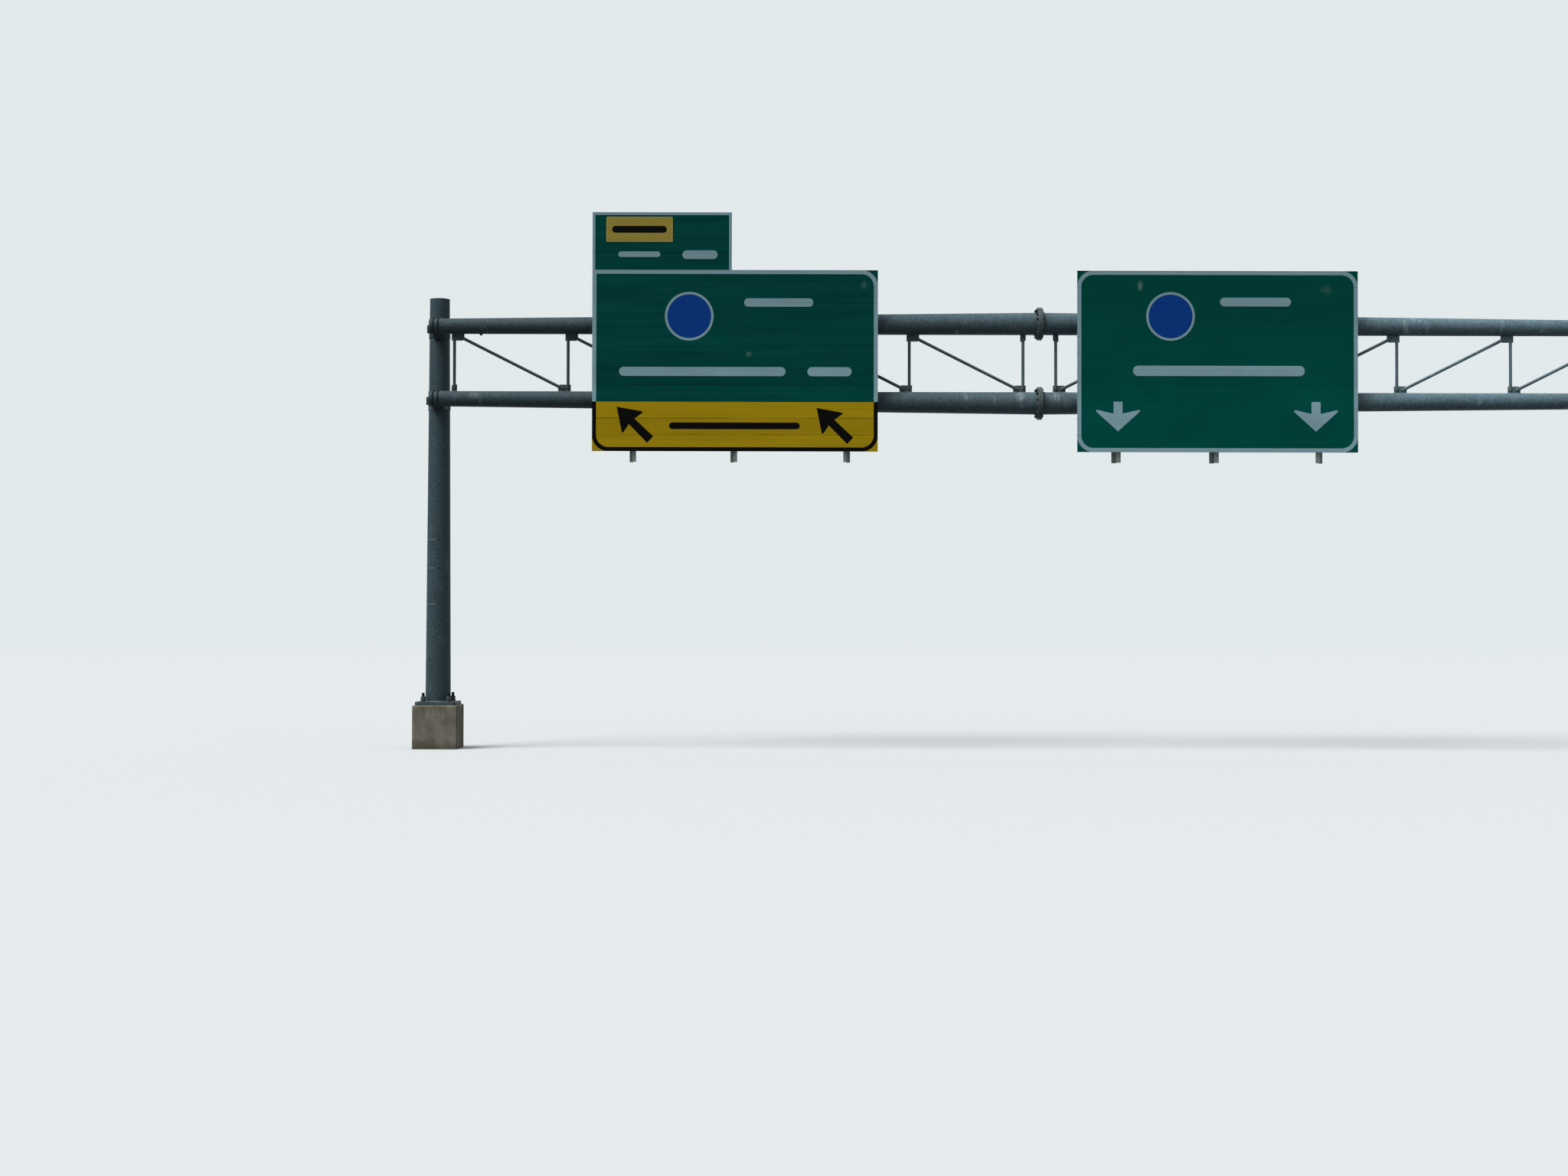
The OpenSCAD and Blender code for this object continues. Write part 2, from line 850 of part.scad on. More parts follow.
// Short post that stiffens the right end of the tab
module exit_tab_post() {
    color(light_steel)
        translate([exit_left + tab_w - tab_post_inset, 0, 0])
            hanger(exit_flange, sign_top - tab_post_lap, sign_top + tab_h, false, 0);
}

// Blocks that fill the wedge between the tapered chord and the hanger's rear flange
module hanger_seats(places, flange) {
    color(dark_steel)
        for (i = [0 : 2], level = [-1, 1]) {
            x = bolt_x(places, flange, i);
            r = chord_r_at(x);
            translate([x, 0, truss_level + level * (chord_gap / 2 + r)])
                difference() {
                    translate([hanger_t / 2 - flange / 2, hanger_back, -seat_h / 2])
                        cube([flange - hanger_t, chord_y - r / 3 - hanger_back, seat_h]);
                    translate([0, chord_y, 0])
                        rotate([0, 90, 0])
                            cylinder(h = 2 * flange, r = r + seat_gap + chord_rise * flange / 2, center = true);
                }
        }
}

// U-bolts that hold the hangers to the chords, their bends behind the chords
module hanger_u_bolt_row(places, flange) {
    for (i = [0 : 2], level = [-1, 1]) {
        x = bolt_x(places, flange, i);
        r = chord_r_at(x);
        translate([x, chord_y, truss_level + level * (chord_gap / 2 + r)])
            mirror([0, 1, 0])
                u_bolt(hanger_bolt_d, r, chord_y - hanger_back, hanger_t);
    }
}

module hanger_u_bolts() {
    color(dark_steel) {
        hanger_u_bolt_row(exit_hangers, exit_flange);
        hanger_u_bolt_row(through_hangers, through_flange);
    }
}

footing();  // left_footing
right_half() footing();  // right_footing
base_plate();  // left_base_plate
right_half() base_plate();  // right_base_plate
anchor_bolts();  // left_anchor_bolts
right_half() anchor_bolts();  // right_anchor_bolts
pole();  // left_pole
right_half() pole();  // right_pole
pole_caps();
upper_saddle();  // left_upper_saddle
lower_saddle();  // left_lower_saddle
right_half() upper_saddle();  // right_upper_saddle
right_half() lower_saddle();  // right_lower_saddle
rear_bands();  // left_rear_bands
right_half() rear_bands();  // right_rear_bands
ear_bolts();
saddle_u_bolts();
chord();  // left_upper_chord
lower_half() chord();  // left_lower_chord
right_half() chord();  // right_upper_chord
right_half() lower_half() chord();  // right_lower_chord
chord_end_caps();
cable_plug();
splice_flanges();  // upper_splice_flanges
lower_half() splice_flanges();  // lower_splice_flanges
splice_bolts();
upper_gussets();
lower_gussets();
verticals();  // left_verticals
right_half() verticals();  // right_verticals
diagonals();  // left_diagonals
right_half() diagonals();  // right_diagonals
exit_sign_planks();
lane_band_planks();
exit_tab_planks();
through_sign_planks();
exit_sign_hangers();
through_sign_hangers();
exit_tab_post();
hanger_seats(exit_hangers, exit_flange);  // exit_hanger_seats
hanger_seats(through_hangers, through_flange);  // through_hanger_seats
hanger_u_bolts();
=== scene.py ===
import math

import bmesh
import bpy
from mathutils import Matrix, Vector


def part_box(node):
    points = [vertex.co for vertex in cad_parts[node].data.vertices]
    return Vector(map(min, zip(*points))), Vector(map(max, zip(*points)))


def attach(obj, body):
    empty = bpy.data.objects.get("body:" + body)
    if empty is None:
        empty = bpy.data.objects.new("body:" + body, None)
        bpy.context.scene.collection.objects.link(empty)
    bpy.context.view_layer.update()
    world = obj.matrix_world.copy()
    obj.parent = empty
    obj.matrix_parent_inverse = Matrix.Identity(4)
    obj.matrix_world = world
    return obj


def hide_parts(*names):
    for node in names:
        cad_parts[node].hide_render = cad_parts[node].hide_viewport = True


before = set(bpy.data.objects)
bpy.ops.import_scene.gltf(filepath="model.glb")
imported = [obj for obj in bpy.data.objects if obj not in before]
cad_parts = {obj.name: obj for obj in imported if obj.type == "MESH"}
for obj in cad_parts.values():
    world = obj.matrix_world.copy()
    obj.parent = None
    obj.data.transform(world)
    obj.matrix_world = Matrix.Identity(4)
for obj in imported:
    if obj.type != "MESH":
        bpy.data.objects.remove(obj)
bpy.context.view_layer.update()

# Camera at the place where the photograph was taken, 2.4 m over the floor and a little
# tilted up, so that the horizon lies under the middle of the picture.
photo_w = 2048
photo_h = 1536
focal_px = 2750
horizon_px = 811
eye = (6.5, -39.618, 2.4)
roll = math.radians(-0.12)
tilt = math.atan((horizon_px - photo_h / 2) / focal_px)
camera_data = bpy.data.cameras.new("photo_camera")
camera_data.sensor_width = 36
camera_data.lens = camera_data.sensor_width * focal_px / photo_w
camera_data.clip_end = 2000
camera = bpy.data.objects.new("photo_camera", camera_data)
camera.location = eye
camera.rotation_euler = (math.radians(90) + tilt, roll, 0)
bpy.context.scene.collection.objects.link(camera)
bpy.context.scene.camera = camera
bpy.context.scene.view_settings.view_transform = "Standard"


# World: an even overcast light for the gantry, and a plain pale backdrop for the camera,
# for reflections and for what shines through.
def paint(red, green, blue):
    """A colour as it is seen, from 0 to 255, as the shaders' linear values."""
    return (*((c / 255) ** 2.2 for c in (red, green, blue)), 1.0)


def put(tree, socket, value):
    """Links an input to another node's output, or sets its value."""
    if isinstance(value, bpy.types.NodeSocket):
        tree.links.new(value, socket)
    else:
        socket.default_value = value


def add(tree, kind, inputs=None, **settings):
    """Adds a shader node with its properties, and with its inputs by name or number."""
    made = tree.nodes.new("ShaderNode" + kind)
    for key, value in settings.items():
        setattr(made, key, value)
    for key, value in (inputs or {}).items():
        put(tree, made.inputs[key], value)
    return made


def calc(tree, operation, *values):
    """The result of a Math node on up to three values."""
    return add(tree, "Math", dict(enumerate(values)), operation=operation).outputs[0]


def seen_directly(tree):
    """1 for camera, glossy and transmission rays, which see the backdrop's own colour."""
    path = add(tree, "LightPath").outputs
    either = calc(tree, "MAXIMUM", path["Is Camera Ray"], path["Is Glossy Ray"])
    return calc(tree, "MAXIMUM", either, path["Is Transmission Ray"])


backdrop_colour = paint(226, 233, 235)
sky_colour = paint(240, 245, 248)
horizon_light = 0.18
zenith_light = 0.85
world = bpy.data.worlds.new("studio")
bpy.context.scene.world = world
world.use_nodes = True
tree = world.node_tree
tree.nodes.clear()
upward = add(tree, "SeparateXYZ", {0: add(tree, "TexCoord").outputs["Generated"]}).outputs[2]
limits = {"Value": upward, "To Min": horizon_light, "To Max": zenith_light}
sky_light = add(tree, "MapRange", limits).outputs[0]
fill = add(tree, "Background", {"Color": sky_colour, "Strength": sky_light})
backdrop = add(tree, "Background", {"Color": backdrop_colour, "Strength": 1.0})
mixed = {0: seen_directly(tree), 1: fill.outputs[0], 2: backdrop.outputs[0]}
add(tree, "OutputWorld", {0: add(tree, "MixShader", mixed).outputs[0]})

# Lamp: one broad soft light from high on the left in front, the bright side of the
# overcast. It draws the pale upper sides of the tubes.
lamp_data = bpy.data.lights.new("soft_sun", "SUN")
lamp_data.energy = 3.3
lamp_data.angle = math.radians(35)
lamp = bpy.data.objects.new("soft_sun", lamp_data)
lamp.rotation_euler = (math.radians(38), 0, math.radians(-58))
bpy.context.scene.collection.objects.link(lamp)


# Floor: a plain pale studio floor. It fades into the backdrop far from the gantry, and
# bounces little light, so that the gantry's undersides stay dark.
def times(tree, first, second):
    """The product of two values."""
    return calc(tree, "MULTIPLY", first, second)


def ramp(tree, value, low, high, at_low=0.0, at_high=1.0):
    """Smooth step of a value between two limits."""
    sockets = {"Value": value, "From Min": low, "From Max": high}
    sockets.update({"To Min": at_low, "To Max": at_high})
    return add(tree, "MapRange", sockets, interpolation_type="SMOOTHSTEP").outputs[0]


def blend(tree, share, first, second):
    """Mix of two colours."""
    return add(tree, "Mix", {0: share, 6: first, 7: second}, data_type="RGBA").outputs[2]


floor_x, floor_z = 11, -0.002
floor_half = 600
fade_start = 45
fade_end = 260
floor_shape = bmesh.new()
bmesh.ops.create_grid(floor_shape, x_segments=1, y_segments=1, size=floor_half)
bmesh.ops.translate(floor_shape, vec=(floor_x, 0, floor_z), verts=floor_shape.verts)
floor_mesh = bpy.data.meshes.new("studio_floor")
floor_shape.to_mesh(floor_mesh)
floor_shape.free()
studio_floor = bpy.data.objects.new("studio_floor", floor_mesh)
bpy.context.scene.collection.objects.link(studio_floor)
floor_finish = bpy.data.materials.new("floor_finish")
floor_finish.use_nodes = True
tree = floor_finish.node_tree
tree.nodes.clear()
seen = seen_directly(tree)
ends = {0: add(tree, "TexCoord").outputs["Object"], 1: (floor_x, 0, 0)}
reach = add(tree, "VectorMath", ends, operation="DISTANCE").outputs["Value"]
fade = times(tree, ramp(tree, reach, fade_start, fade_end), seen)
tone = blend(tree, seen, paint(90, 91, 90), paint(198, 201, 202))
matt = add(tree, "BsdfDiffuse", {"Color": tone})
glow = add(tree, "Emission", {"Color": backdrop_colour, "Strength": 1.0})
mixed = {0: fade, 1: matt.outputs[0], 2: glow.outputs[0]}
add(tree, "OutputMaterial", {0: add(tree, "MixShader", mixed).outputs[0]})
floor_mesh.materials.append(floor_finish)


# Footings: plain cast concrete blocks, tan and weathered, with air holes, drip marks from
# the base plates, and damp dark lower edges.
def noise(tree, place, scale, detail, roughness, stretch=(1, 1, 1), distortion=0.0):
    """Soft noise from 0 to 1. It is finer along an axis where its stretch is larger."""
    spot = add(tree, "VectorMath", {0: place, 1: stretch}, operation="MULTIPLY").outputs[0]
    sockets = {"Vector": spot, "Scale": scale, "Detail": detail}
    sockets.update({"Roughness": roughness, "Distortion": distortion})
    return add(tree, "TexNoise", sockets).outputs[0]


def brighten(tree, colour, factor):
    """A colour times a factor that changes over the surface."""
    return add(tree, "VectorMath", {0: colour, "Scale": factor}, operation="SCALE").outputs[0]


def bump(tree, height, distance):
    """Normal from a height of 0 to 1."""
    return add(tree, "Bump", {"Height": height, "Distance": distance, "Strength": 1}).outputs[0]


def new_finish(name):
    """An empty material with its Principled shader, and the place on the piece."""
    material = bpy.data.materials.new(name)
    material.use_nodes = True
    tree = material.node_tree
    shader = tree.nodes["Principled BSDF"]
    return material, tree, shader, add(tree, "TexCoord").outputs["Object"]


def connect(tree, node, **values):
    """Links or sets the inputs of a node, named with _ for a space."""
    for key, value in values.items():
        put(tree, node.inputs[key.replace("_", " ")], value)


def coat(material, *names):
    """Gives CAD nodes their finish."""
    for name in names:
        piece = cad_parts[name]
        if not piece.material_slots:
            piece.data.materials.append(material)
        for slot in piece.material_slots:
            slot.material = material


concrete, tree, shader, place = new_finish("cast_concrete")
height = add(tree, "SeparateXYZ", {0: place}).outputs[2]
clouds = noise(tree, place, 3.2, 5, 0.6)
sand = noise(tree, place, 140, 3, 0.7)
drips = noise(tree, place, 1.6, 4, 0.6, stretch=(9, 9, 0.7))
pores = add(tree, "TexVoronoi", {"Vector": place, "Scale": 26}).outputs["Distance"]
air_holes = ramp(tree, pores, 0.1, 0.16)
damp = ramp(tree, calc(tree, "ADD", height, times(tree, clouds, 0.25)), 0.36, 0.1)
drip_marks = times(tree, ramp(tree, drips, 0.52, 0.66), ramp(tree, height, 0.35, 0.8))
colour = blend(tree, ramp(tree, clouds, 0.3, 0.7), paint(98, 95, 84), paint(128, 124, 111))
colour = blend(tree, times(tree, drip_marks, 0.55), colour, paint(72, 67, 58))
colour = blend(tree, times(tree, damp, 0.6), colour, paint(62, 64, 50))
colour = brighten(tree, colour, calc(tree, "MULTIPLY_ADD", sand, 0.34, 0.83))
colour = brighten(tree, colour, calc(tree, "MULTIPLY_ADD", air_holes, 0.45, 0.55))
relief = calc(tree, "MULTIPLY_ADD", air_holes, 0.7, times(tree, sand, 0.3))
connect(tree, shader, Base_Color=colour, Roughness=0.92, Specular_IOR_Level=0.25)
connect(tree, shader, Normal=bump(tree, relief, 0.004))
coat(concrete, "left_footing", "right_footing")


# Poles and base plates: hot-dip galvanised steel that has weathered to a dull blue-grey.
# The zinc shows as fine mottle and soft clouds, with painted light on its upper sides
# and painted shade on its undersides.
def new_group(name, inputs):
    """A shader node group that puts out a colour, a roughness and a height. It comes with
    the sockets of its inputs and the node of its outputs."""
    group = bpy.data.node_groups.new(name, "ShaderNodeTree")
    for label, kind, value in inputs:
        socket = group.interface.new_socket(label, in_out="INPUT",
                                            socket_type="NodeSocket" + kind)
        socket.default_value = value
    for label, kind in (("Colour", "Color"), ("Roughness", "Float"), ("Height", "Float")):
        group.interface.new_socket(label, in_out="OUTPUT", socket_type="NodeSocket" + kind)
    given = group.nodes.new("NodeGroupInput").outputs
    return group, given, group.nodes.new("NodeGroupOutput")


def use_group(tree, group, **values):
    """Places a node group in a material with its own values, named with _ for a space."""
    made = add(tree, "Group", node_tree=group)
    connect(tree, made, **values)
    return made.outputs


zinc_inputs = [
    ("Colour", "Color", paint(92, 108, 115)),
    ("Mottle", "Float", 0.3),
    ("Clouds", "Float", 0.3),
    ("Rust", "Float", 0.0),
    ("White Rust", "Float", 0.1),
]
zinc, given, result = new_group("weathered_zinc", zinc_inputs)
place = add(zinc, "TexCoord").outputs["Object"]
upward = add(zinc, "SeparateXYZ", {0: add(zinc, "NewGeometry").outputs["Normal"]}).outputs[2]
cells = add(zinc, "TexVoronoi", {"Vector": place, "Scale": 38}).outputs["Color"]
cell = add(zinc, "SeparateColor", {0: cells}).outputs[0]
grain = noise(zinc, place, 30, 4, 0.75)
cloud = noise(zinc, place, 1.7, 5, 0.62, stretch=(1, 1, 0.6))
spots = calc(zinc, "ADD", times(zinc, cell, 0.4), times(zinc, grain, 1.4))
tone = calc(zinc, "MULTIPLY_ADD", calc(zinc, "SUBTRACT", spots, 0.9), given["Mottle"], 1.0)
soft = times(zinc, calc(zinc, "SUBTRACT", cloud, 0.5), given["Clouds"])
tone = calc(zinc, "MULTIPLY_ADD", soft, 2.0, tone)
# Painted light and shade: faces that point up are lighter, faces that point down darker.
painted_light_and_shade = calc(zinc, "MULTIPLY_ADD", upward, 0.4, 1.0)
colour = brighten(zinc, given["Colour"], times(zinc, tone, painted_light_and_shade))
chalk = ramp(zinc, noise(zinc, place, 1.5, 6, 0.68, stretch=(3, 3, 1.1)), 0.56, 0.72)
colour = blend(zinc, times(zinc, chalk, given["White Rust"]), colour, paint(164, 176, 178))
stain = ramp(zinc, noise(zinc, place, 9, 7, 0.7, stretch=(1, 1, 0.8)), 0.5, 0.68)
stain = times(zinc, stain, given["Rust"])
colour = blend(zinc, stain, colour, paint(88, 66, 48))
rough = calc(zinc, "MULTIPLY_ADD", cloud, 0.22, 0.5)
rough = calc(zinc, "ADD", rough, times(zinc, stain, 0.25))
relief = calc(zinc, "ADD", times(zinc, grain, 0.5), times(zinc, cell, 0.3))
connect(zinc, result, Colour=colour, Roughness=rough, Height=relief)


def zinc_finish(name, marks=None, **values):
    """Galvanised steel with its own values of the zinc group, and its own marks on top."""
    material, tree, shader, place = new_finish(name)
    skin = use_group(tree, zinc, **values)
    colour = marks(tree, place, skin["Colour"]) if marks else skin["Colour"]
    connect(tree, shader, Base_Color=colour, Roughness=skin["Roughness"], Metallic=0.15)
    connect(tree, shader, Specular_IOR_Level=0.12, Normal=bump(tree, skin["Height"], 0.0008))
    return material


def soften(width, *names):
    """Rounds the sharp edges of CAD nodes a little, so that they catch the light."""
    for name in names:
        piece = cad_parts[name]
        weld = piece.modifiers.new("joined", "WELD")
        weld.merge_threshold = 0.00001
        bevel = piece.modifiers.new("soft_edges", "BEVEL")
        bevel.width = width
        bevel.segments = 2
        bevel.limit_method = "ANGLE"
        bevel.angle_limit = math.radians(50)


def worn_spot(tree, place, spot, pattern, low, high):
    """A soft spot at an X and Z, with its two half sizes, broken up by a pattern."""
    x, z, half_x, half_z = spot
    sizes = {0: place, 1: (1 / half_x, 0, 1 / half_z)}
    scaled = add(tree, "VectorMath", sizes, operation="MULTIPLY").outputs[0]
    ends = {0: scaled, 1: (x / half_x, 0, z / half_z)}
    away = add(tree, "VectorMath", ends, operation="DISTANCE").outputs["Value"]
    return times(tree, ramp(tree, away, 1.0, 0.25), ramp(tree, pattern, low, high))


def pole_marks(tree, place, colour):
    """Pale lines and dark smudges that straps left on the left pole, and a brown drip
    under its cable hole."""
    part = add(tree, "SeparateXYZ", {0: place}).outputs
    worn = noise(tree, place, 1, 4, 0.7, stretch=(26, 26, 3))
    left_half = times(tree, ramp(tree, part["X"], 0.01, -0.02), ramp(tree, worn, 0.3, 0.5))
    for strap_z in (3.912, 3.379, 2.702):
        away = calc(tree, "ABSOLUTE", calc(tree, "SUBTRACT", part["Z"], strap_z))
        line = times(tree, ramp(tree, away, 0.012, 0.006), left_half)
        colour = blend(tree, times(tree, line, 0.4), colour, paint(120, 136, 140))
        smudge = worn_spot(tree, place, (0.03, strap_z, 0.05, 0.03), worn, 0.3, 0.5)
        colour = blend(tree, times(tree, smudge, 0.6), colour, paint(26, 32, 34))
    drip = worn_spot(tree, place, (0.05, 7.4, 0.07, 0.3), worn, 0.35, 0.6)
    return blend(tree, times(tree, drip, 0.45), colour, paint(62, 54, 46))


pole_zinc = zinc_finish("pole_zinc", pole_marks, Colour=paint(58, 73, 79), Mottle=0.9,
                        Clouds=0.22, White_Rust=0.1)
plate_zinc = zinc_finish("plate_zinc", Colour=paint(72, 84, 83), Mottle=0.7, Clouds=0.35,
                         Rust=0.2)
coat(pole_zinc, "left_pole", "right_pole", "pole_caps")
coat(plate_zinc, "left_base_plate", "right_base_plate")
soften(0.003, "left_base_plate", "right_base_plate", "pole_caps")

# Pole welds: a thick fillet weld holds each pole on its base plate, and a thin one holds
# the cap. They are paler than the pole, and their ripples show in low light.
upright = Matrix.Rotation(math.radians(90), 3, "X")


def make_piece(name, shape, material):
    """Turns a finished bmesh into a piece of the gantry. Edges over 35 degrees stay sharp."""
    bmesh.ops.recalc_face_normals(shape, faces=shape.faces)
    for face in shape.faces:
        face.smooth = True
    for edge in shape.edges:
        edge.smooth = edge.calc_face_angle(0) < math.radians(35)
    mesh = bpy.data.meshes.new(name)
    shape.to_mesh(mesh)
    shape.free()
    mesh.materials.append(material)
    piece = bpy.data.objects.new(name, mesh)
    bpy.context.scene.collection.objects.link(piece)
    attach(piece, "root")
    return piece


def add_ring(shape, centre, along, radius, bead, ripple=0.16, steps=120):
    """A round ring of weld or rubber. Its ripples are a share of the bead's own radius,
    with three steps to a ripple."""
    turn = Vector((0, 0, 1)).rotation_difference(Vector(along)).to_matrix()
    made = bmesh.ops.create_circle(shape, segments=8, radius=bead)["verts"]
    bmesh.ops.rotate(shape, cent=(0, 0, 0), matrix=upright, verts=made)
    bmesh.ops.translate(shape, vec=(radius, 0, 0), verts=made)
    profile = made + list({edge for vert in made for edge in vert.link_edges})
    before = set(shape.verts) - set(made)
    bmesh.ops.spin(shape, geom=profile, cent=(0, 0, 0), axis=(0, 0, 1), dvec=(0, 0, 0),
                   angle=math.tau, steps=steps, use_merge=True, use_duplicate=False)
    for vert in set(shape.verts) - before:
        x, y, z = vert.co
        wave = 1 + ripple * bead / radius * math.sin(steps / 3 * math.atan2(y, x))
        vert.co = turn @ Vector((x * wave, y * wave, z)) + Vector(centre)


weld_zinc = zinc_finish("weld_zinc", Colour=paint(104, 118, 122), Mottle=0.3, Clouds=0.5,
                        Rust=0.25, White_Rust=0.3)
foot_weld = 0.011
cap_weld = 0.005
cap_lip = 0.004
plate_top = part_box("left_base_plate")[1].z
pole_low, pole_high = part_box("left_pole")
cap_low, cap_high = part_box("pole_caps")
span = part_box("right_pole")[1].x - pole_high.x
pole_foot_r = pole_high.x
pole_top_r = cap_high.x - span - cap_lip
shape = bmesh.new()
for x in (0, span):
    add_ring(shape, (x, 0, plate_top), (0, 0, 1), pole_foot_r, foot_weld)
    add_ring(shape, (x, 0, cap_low.z), (0, 0, 1), pole_top_r, cap_weld)
make_piece("pole_welds", shape, weld_zinc)

# Cable grommets: black rubber rings, pressed into the cable holes below the upper saddles
# so that no cable rubs on the steel.
cable_z = 7.659
grommet_r = 0.0225
grommet_bead = 0.006
rubber, tree, shader, place = new_finish("black_rubber")
dust = noise(tree, place, 60, 4, 0.6)
colour = blend(tree, dust, paint(16, 18, 18), paint(44, 46, 45))
connect(tree, shader, Base_Color=colour, Roughness=0.7, Specular_IOR_Level=0.2)
connect(tree, shader, Normal=bump(tree, dust, 0.0005))
share = (cable_z - pole_low.z) / (pole_high.z - pole_low.z)
pole_front = -(pole_foot_r + (pole_top_r - pole_foot_r) * share)
shape = bmesh.new()
for x in (0, span):
    add_ring(shape, (x, pole_front, cable_z), (0, 1, 0), grommet_r, grommet_bead, 0, 40)
make_piece("cable_grommets", shape, rubber)


# Anchor bolts: thick galvanised rods with plate washers, heavy nuts and jam nuts, in the
# places of the plain bolts of the model. The ends of the rods show their thread.
def solids(node):
    """Lowest and highest corners of each separate solid of a CAD node, from -X to +X."""
    shape = bmesh.new()
    shape.from_mesh(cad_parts[node].data)
    bmesh.ops.remove_doubles(shape, verts=shape.verts, dist=1e-6)
    waiting = set(shape.verts)
    boxes = []
    while waiting:
        front = [waiting.pop()]
        found = []
        while front:
            vert = front.pop()
            found.append(vert.co.copy())
            linked = {edge.other_vert(vert) for edge in vert.link_edges} & waiting
            waiting -= linked
            front.extend(linked)
        low = Vector(min(co[i] for co in found) for i in range(3))
        high = Vector(max(co[i] for co in found) for i in range(3))
        boxes.append((low, high))
    shape.free()
    return sorted(boxes, key=lambda box: tuple(box[0]))


def round_off(shape, parts, width, segments, affect="EDGES"):
    """Rounds edges or corners of a shape."""
    bmesh.ops.bevel(shape, geom=list(parts), offset=width, offset_type="OFFSET",
                    segments=segments, profile=0.5, affect=affect, material=-1)


def end_edges(made, segments):
    """The edges round both ends of a new cylinder or prism."""
    faces = {face for vert in made for face in vert.link_faces if len(face.verts) == segments}
    return {edge for face in faces for edge in face.edges}


def add_drum(shape, place, low, high, radius, segments=32, edge=0.0):
    """A cylinder or prism along the Z of a place, with its end edges bevelled."""
    middle = place @ Matrix.Translation((0, 0, (low + high) / 2))
    made = bmesh.ops.create_cone(shape, cap_ends=True, segments=segments, radius1=radius,
                                 radius2=radius, depth=high - low, matrix=middle)["verts"]
    if edge:
        round_off(shape, end_edges(made, segments), edge, 2)


def add_ribbed(shape, place, low, high, segments, sizes):
    """A closed rod along the Z of a place, with rings of the given radii at even steps."""
    made = bmesh.ops.create_cone(shape, cap_ends=True, segments=segments, radius1=1,
                                 radius2=1, depth=high - low)["verts"]
    sides = {edge for vert in made for edge in vert.link_edges} - end_edges(made, segments)
    cut = bmesh.ops.subdivide_edges(shape, edges=list(sides), cuts=len(sizes) - 2,
                                    use_grid_fill=True)["geom_split"]
    split = [item for item in cut if isinstance(item, bmesh.types.BMEdge)]
    for vert in {vert for edge in split for vert in edge.verts}:
        x, y, z = vert.co
        size = sizes[round((z / (high - low) + 0.5) * (len(sizes) - 1))]
        vert.co = place @ Vector((x * size, y * size, z + (low + high) / 2))


def add_thread(shape, place, low, high, radius, pitch):
    """A threaded length of rod: a ridge and a groove for each turn."""
    turns = round((high - low) / pitch)
    groove = radius - 0.6 * pitch
    add_ribbed(shape, place, low, high, 24, [radius, groove] * turns + [radius])


# Shares of a bolt's diameter
corner_r = 1.55 / 2 / math.cos(math.pi / 6)
washer_r = 1.85 / 2
washer_h = 0.14
nut_h = 0.98
jam_h = 0.56
head_h = 0.64
tail_h = 1 / 3
hex_edge = 0.06
bolt_pitch = 0.11

rod_d = 0.057
rod_core_r = rod_d / 2 - 0.001
rod_pitch = 0.0055
thread_inset = 0.004
point_h = 0.005
point_edge = 0.002
nut_edge = 0.004
washer_edge = 0.0015
jam_turn = math.radians(17)
on_washer = washer_h * rod_d
on_nut = on_washer + nut_h * rod_d
on_jam = on_nut + jam_h * rod_d
bolt_zinc = zinc_finish("bolt_zinc", Colour=paint(72, 81, 84), Mottle=0.7, Clouds=0.6,
                        Rust=0.4)
thread_steel = zinc_finish("thread_steel", Colour=paint(36, 39, 39), Mottle=0.5,
                           Clouds=0.4, Rust=0.5)
threads = bmesh.new()
for side in ("left", "right"):
    shape = bmesh.new()
    for low, high in solids(f"{side}_anchor_bolts"):
        place = Matrix.Translation(((low.x + high.x) / 2, (low.y + high.y) / 2, plate_top))
        turned = place @ Matrix.Rotation(jam_turn, 4, "Z")
        foot = low.z - plate_top
        tip = high.z - plate_top
        add_drum(shape, place, foot, on_jam, rod_core_r, 24)
        add_drum(shape, place, 0, on_washer, washer_r * rod_d, 40, washer_edge)
        add_drum(shape, place, on_washer, on_nut, corner_r * rod_d, 6, nut_edge)
        add_drum(shape, turned, on_nut, on_jam, corner_r * rod_d, 6, nut_edge)
        start, end = on_jam - thread_inset, tip - thread_inset
        add_thread(threads, place, start, end, rod_d / 2, rod_pitch)
        add_drum(threads, place, tip - point_h, tip, rod_core_r, 24, point_edge)
    piece = make_piece(f"{side}_anchor_set", shape, bolt_zinc)
    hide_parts(f"{side}_anchor_bolts")
make_piece("anchor_threads", threads, thread_steel)


# Pole saddles: welded shells, ribs and front plates that clamp the chords to the poles,
# with rear half bands, bolts and U-bolts. Rippled welds run along the ribs and the ears.
def add_bead(shape, start, end, bead):
    """A straight rippled bead of weld with pinched ends."""
    along = Vector(end) - Vector(start)
    turn = Vector((0, 0, 1)).rotation_difference(along).to_matrix().to_4x4()
    ripples = [1.12, 0.92] * max(2, round(along.length / 0.024))
    sizes = [bead * size for size in (0.4, *ripples, 0.4)]
    add_ribbed(shape, Matrix.Translation(start) @ turn, 0, along.length, 5, sizes)


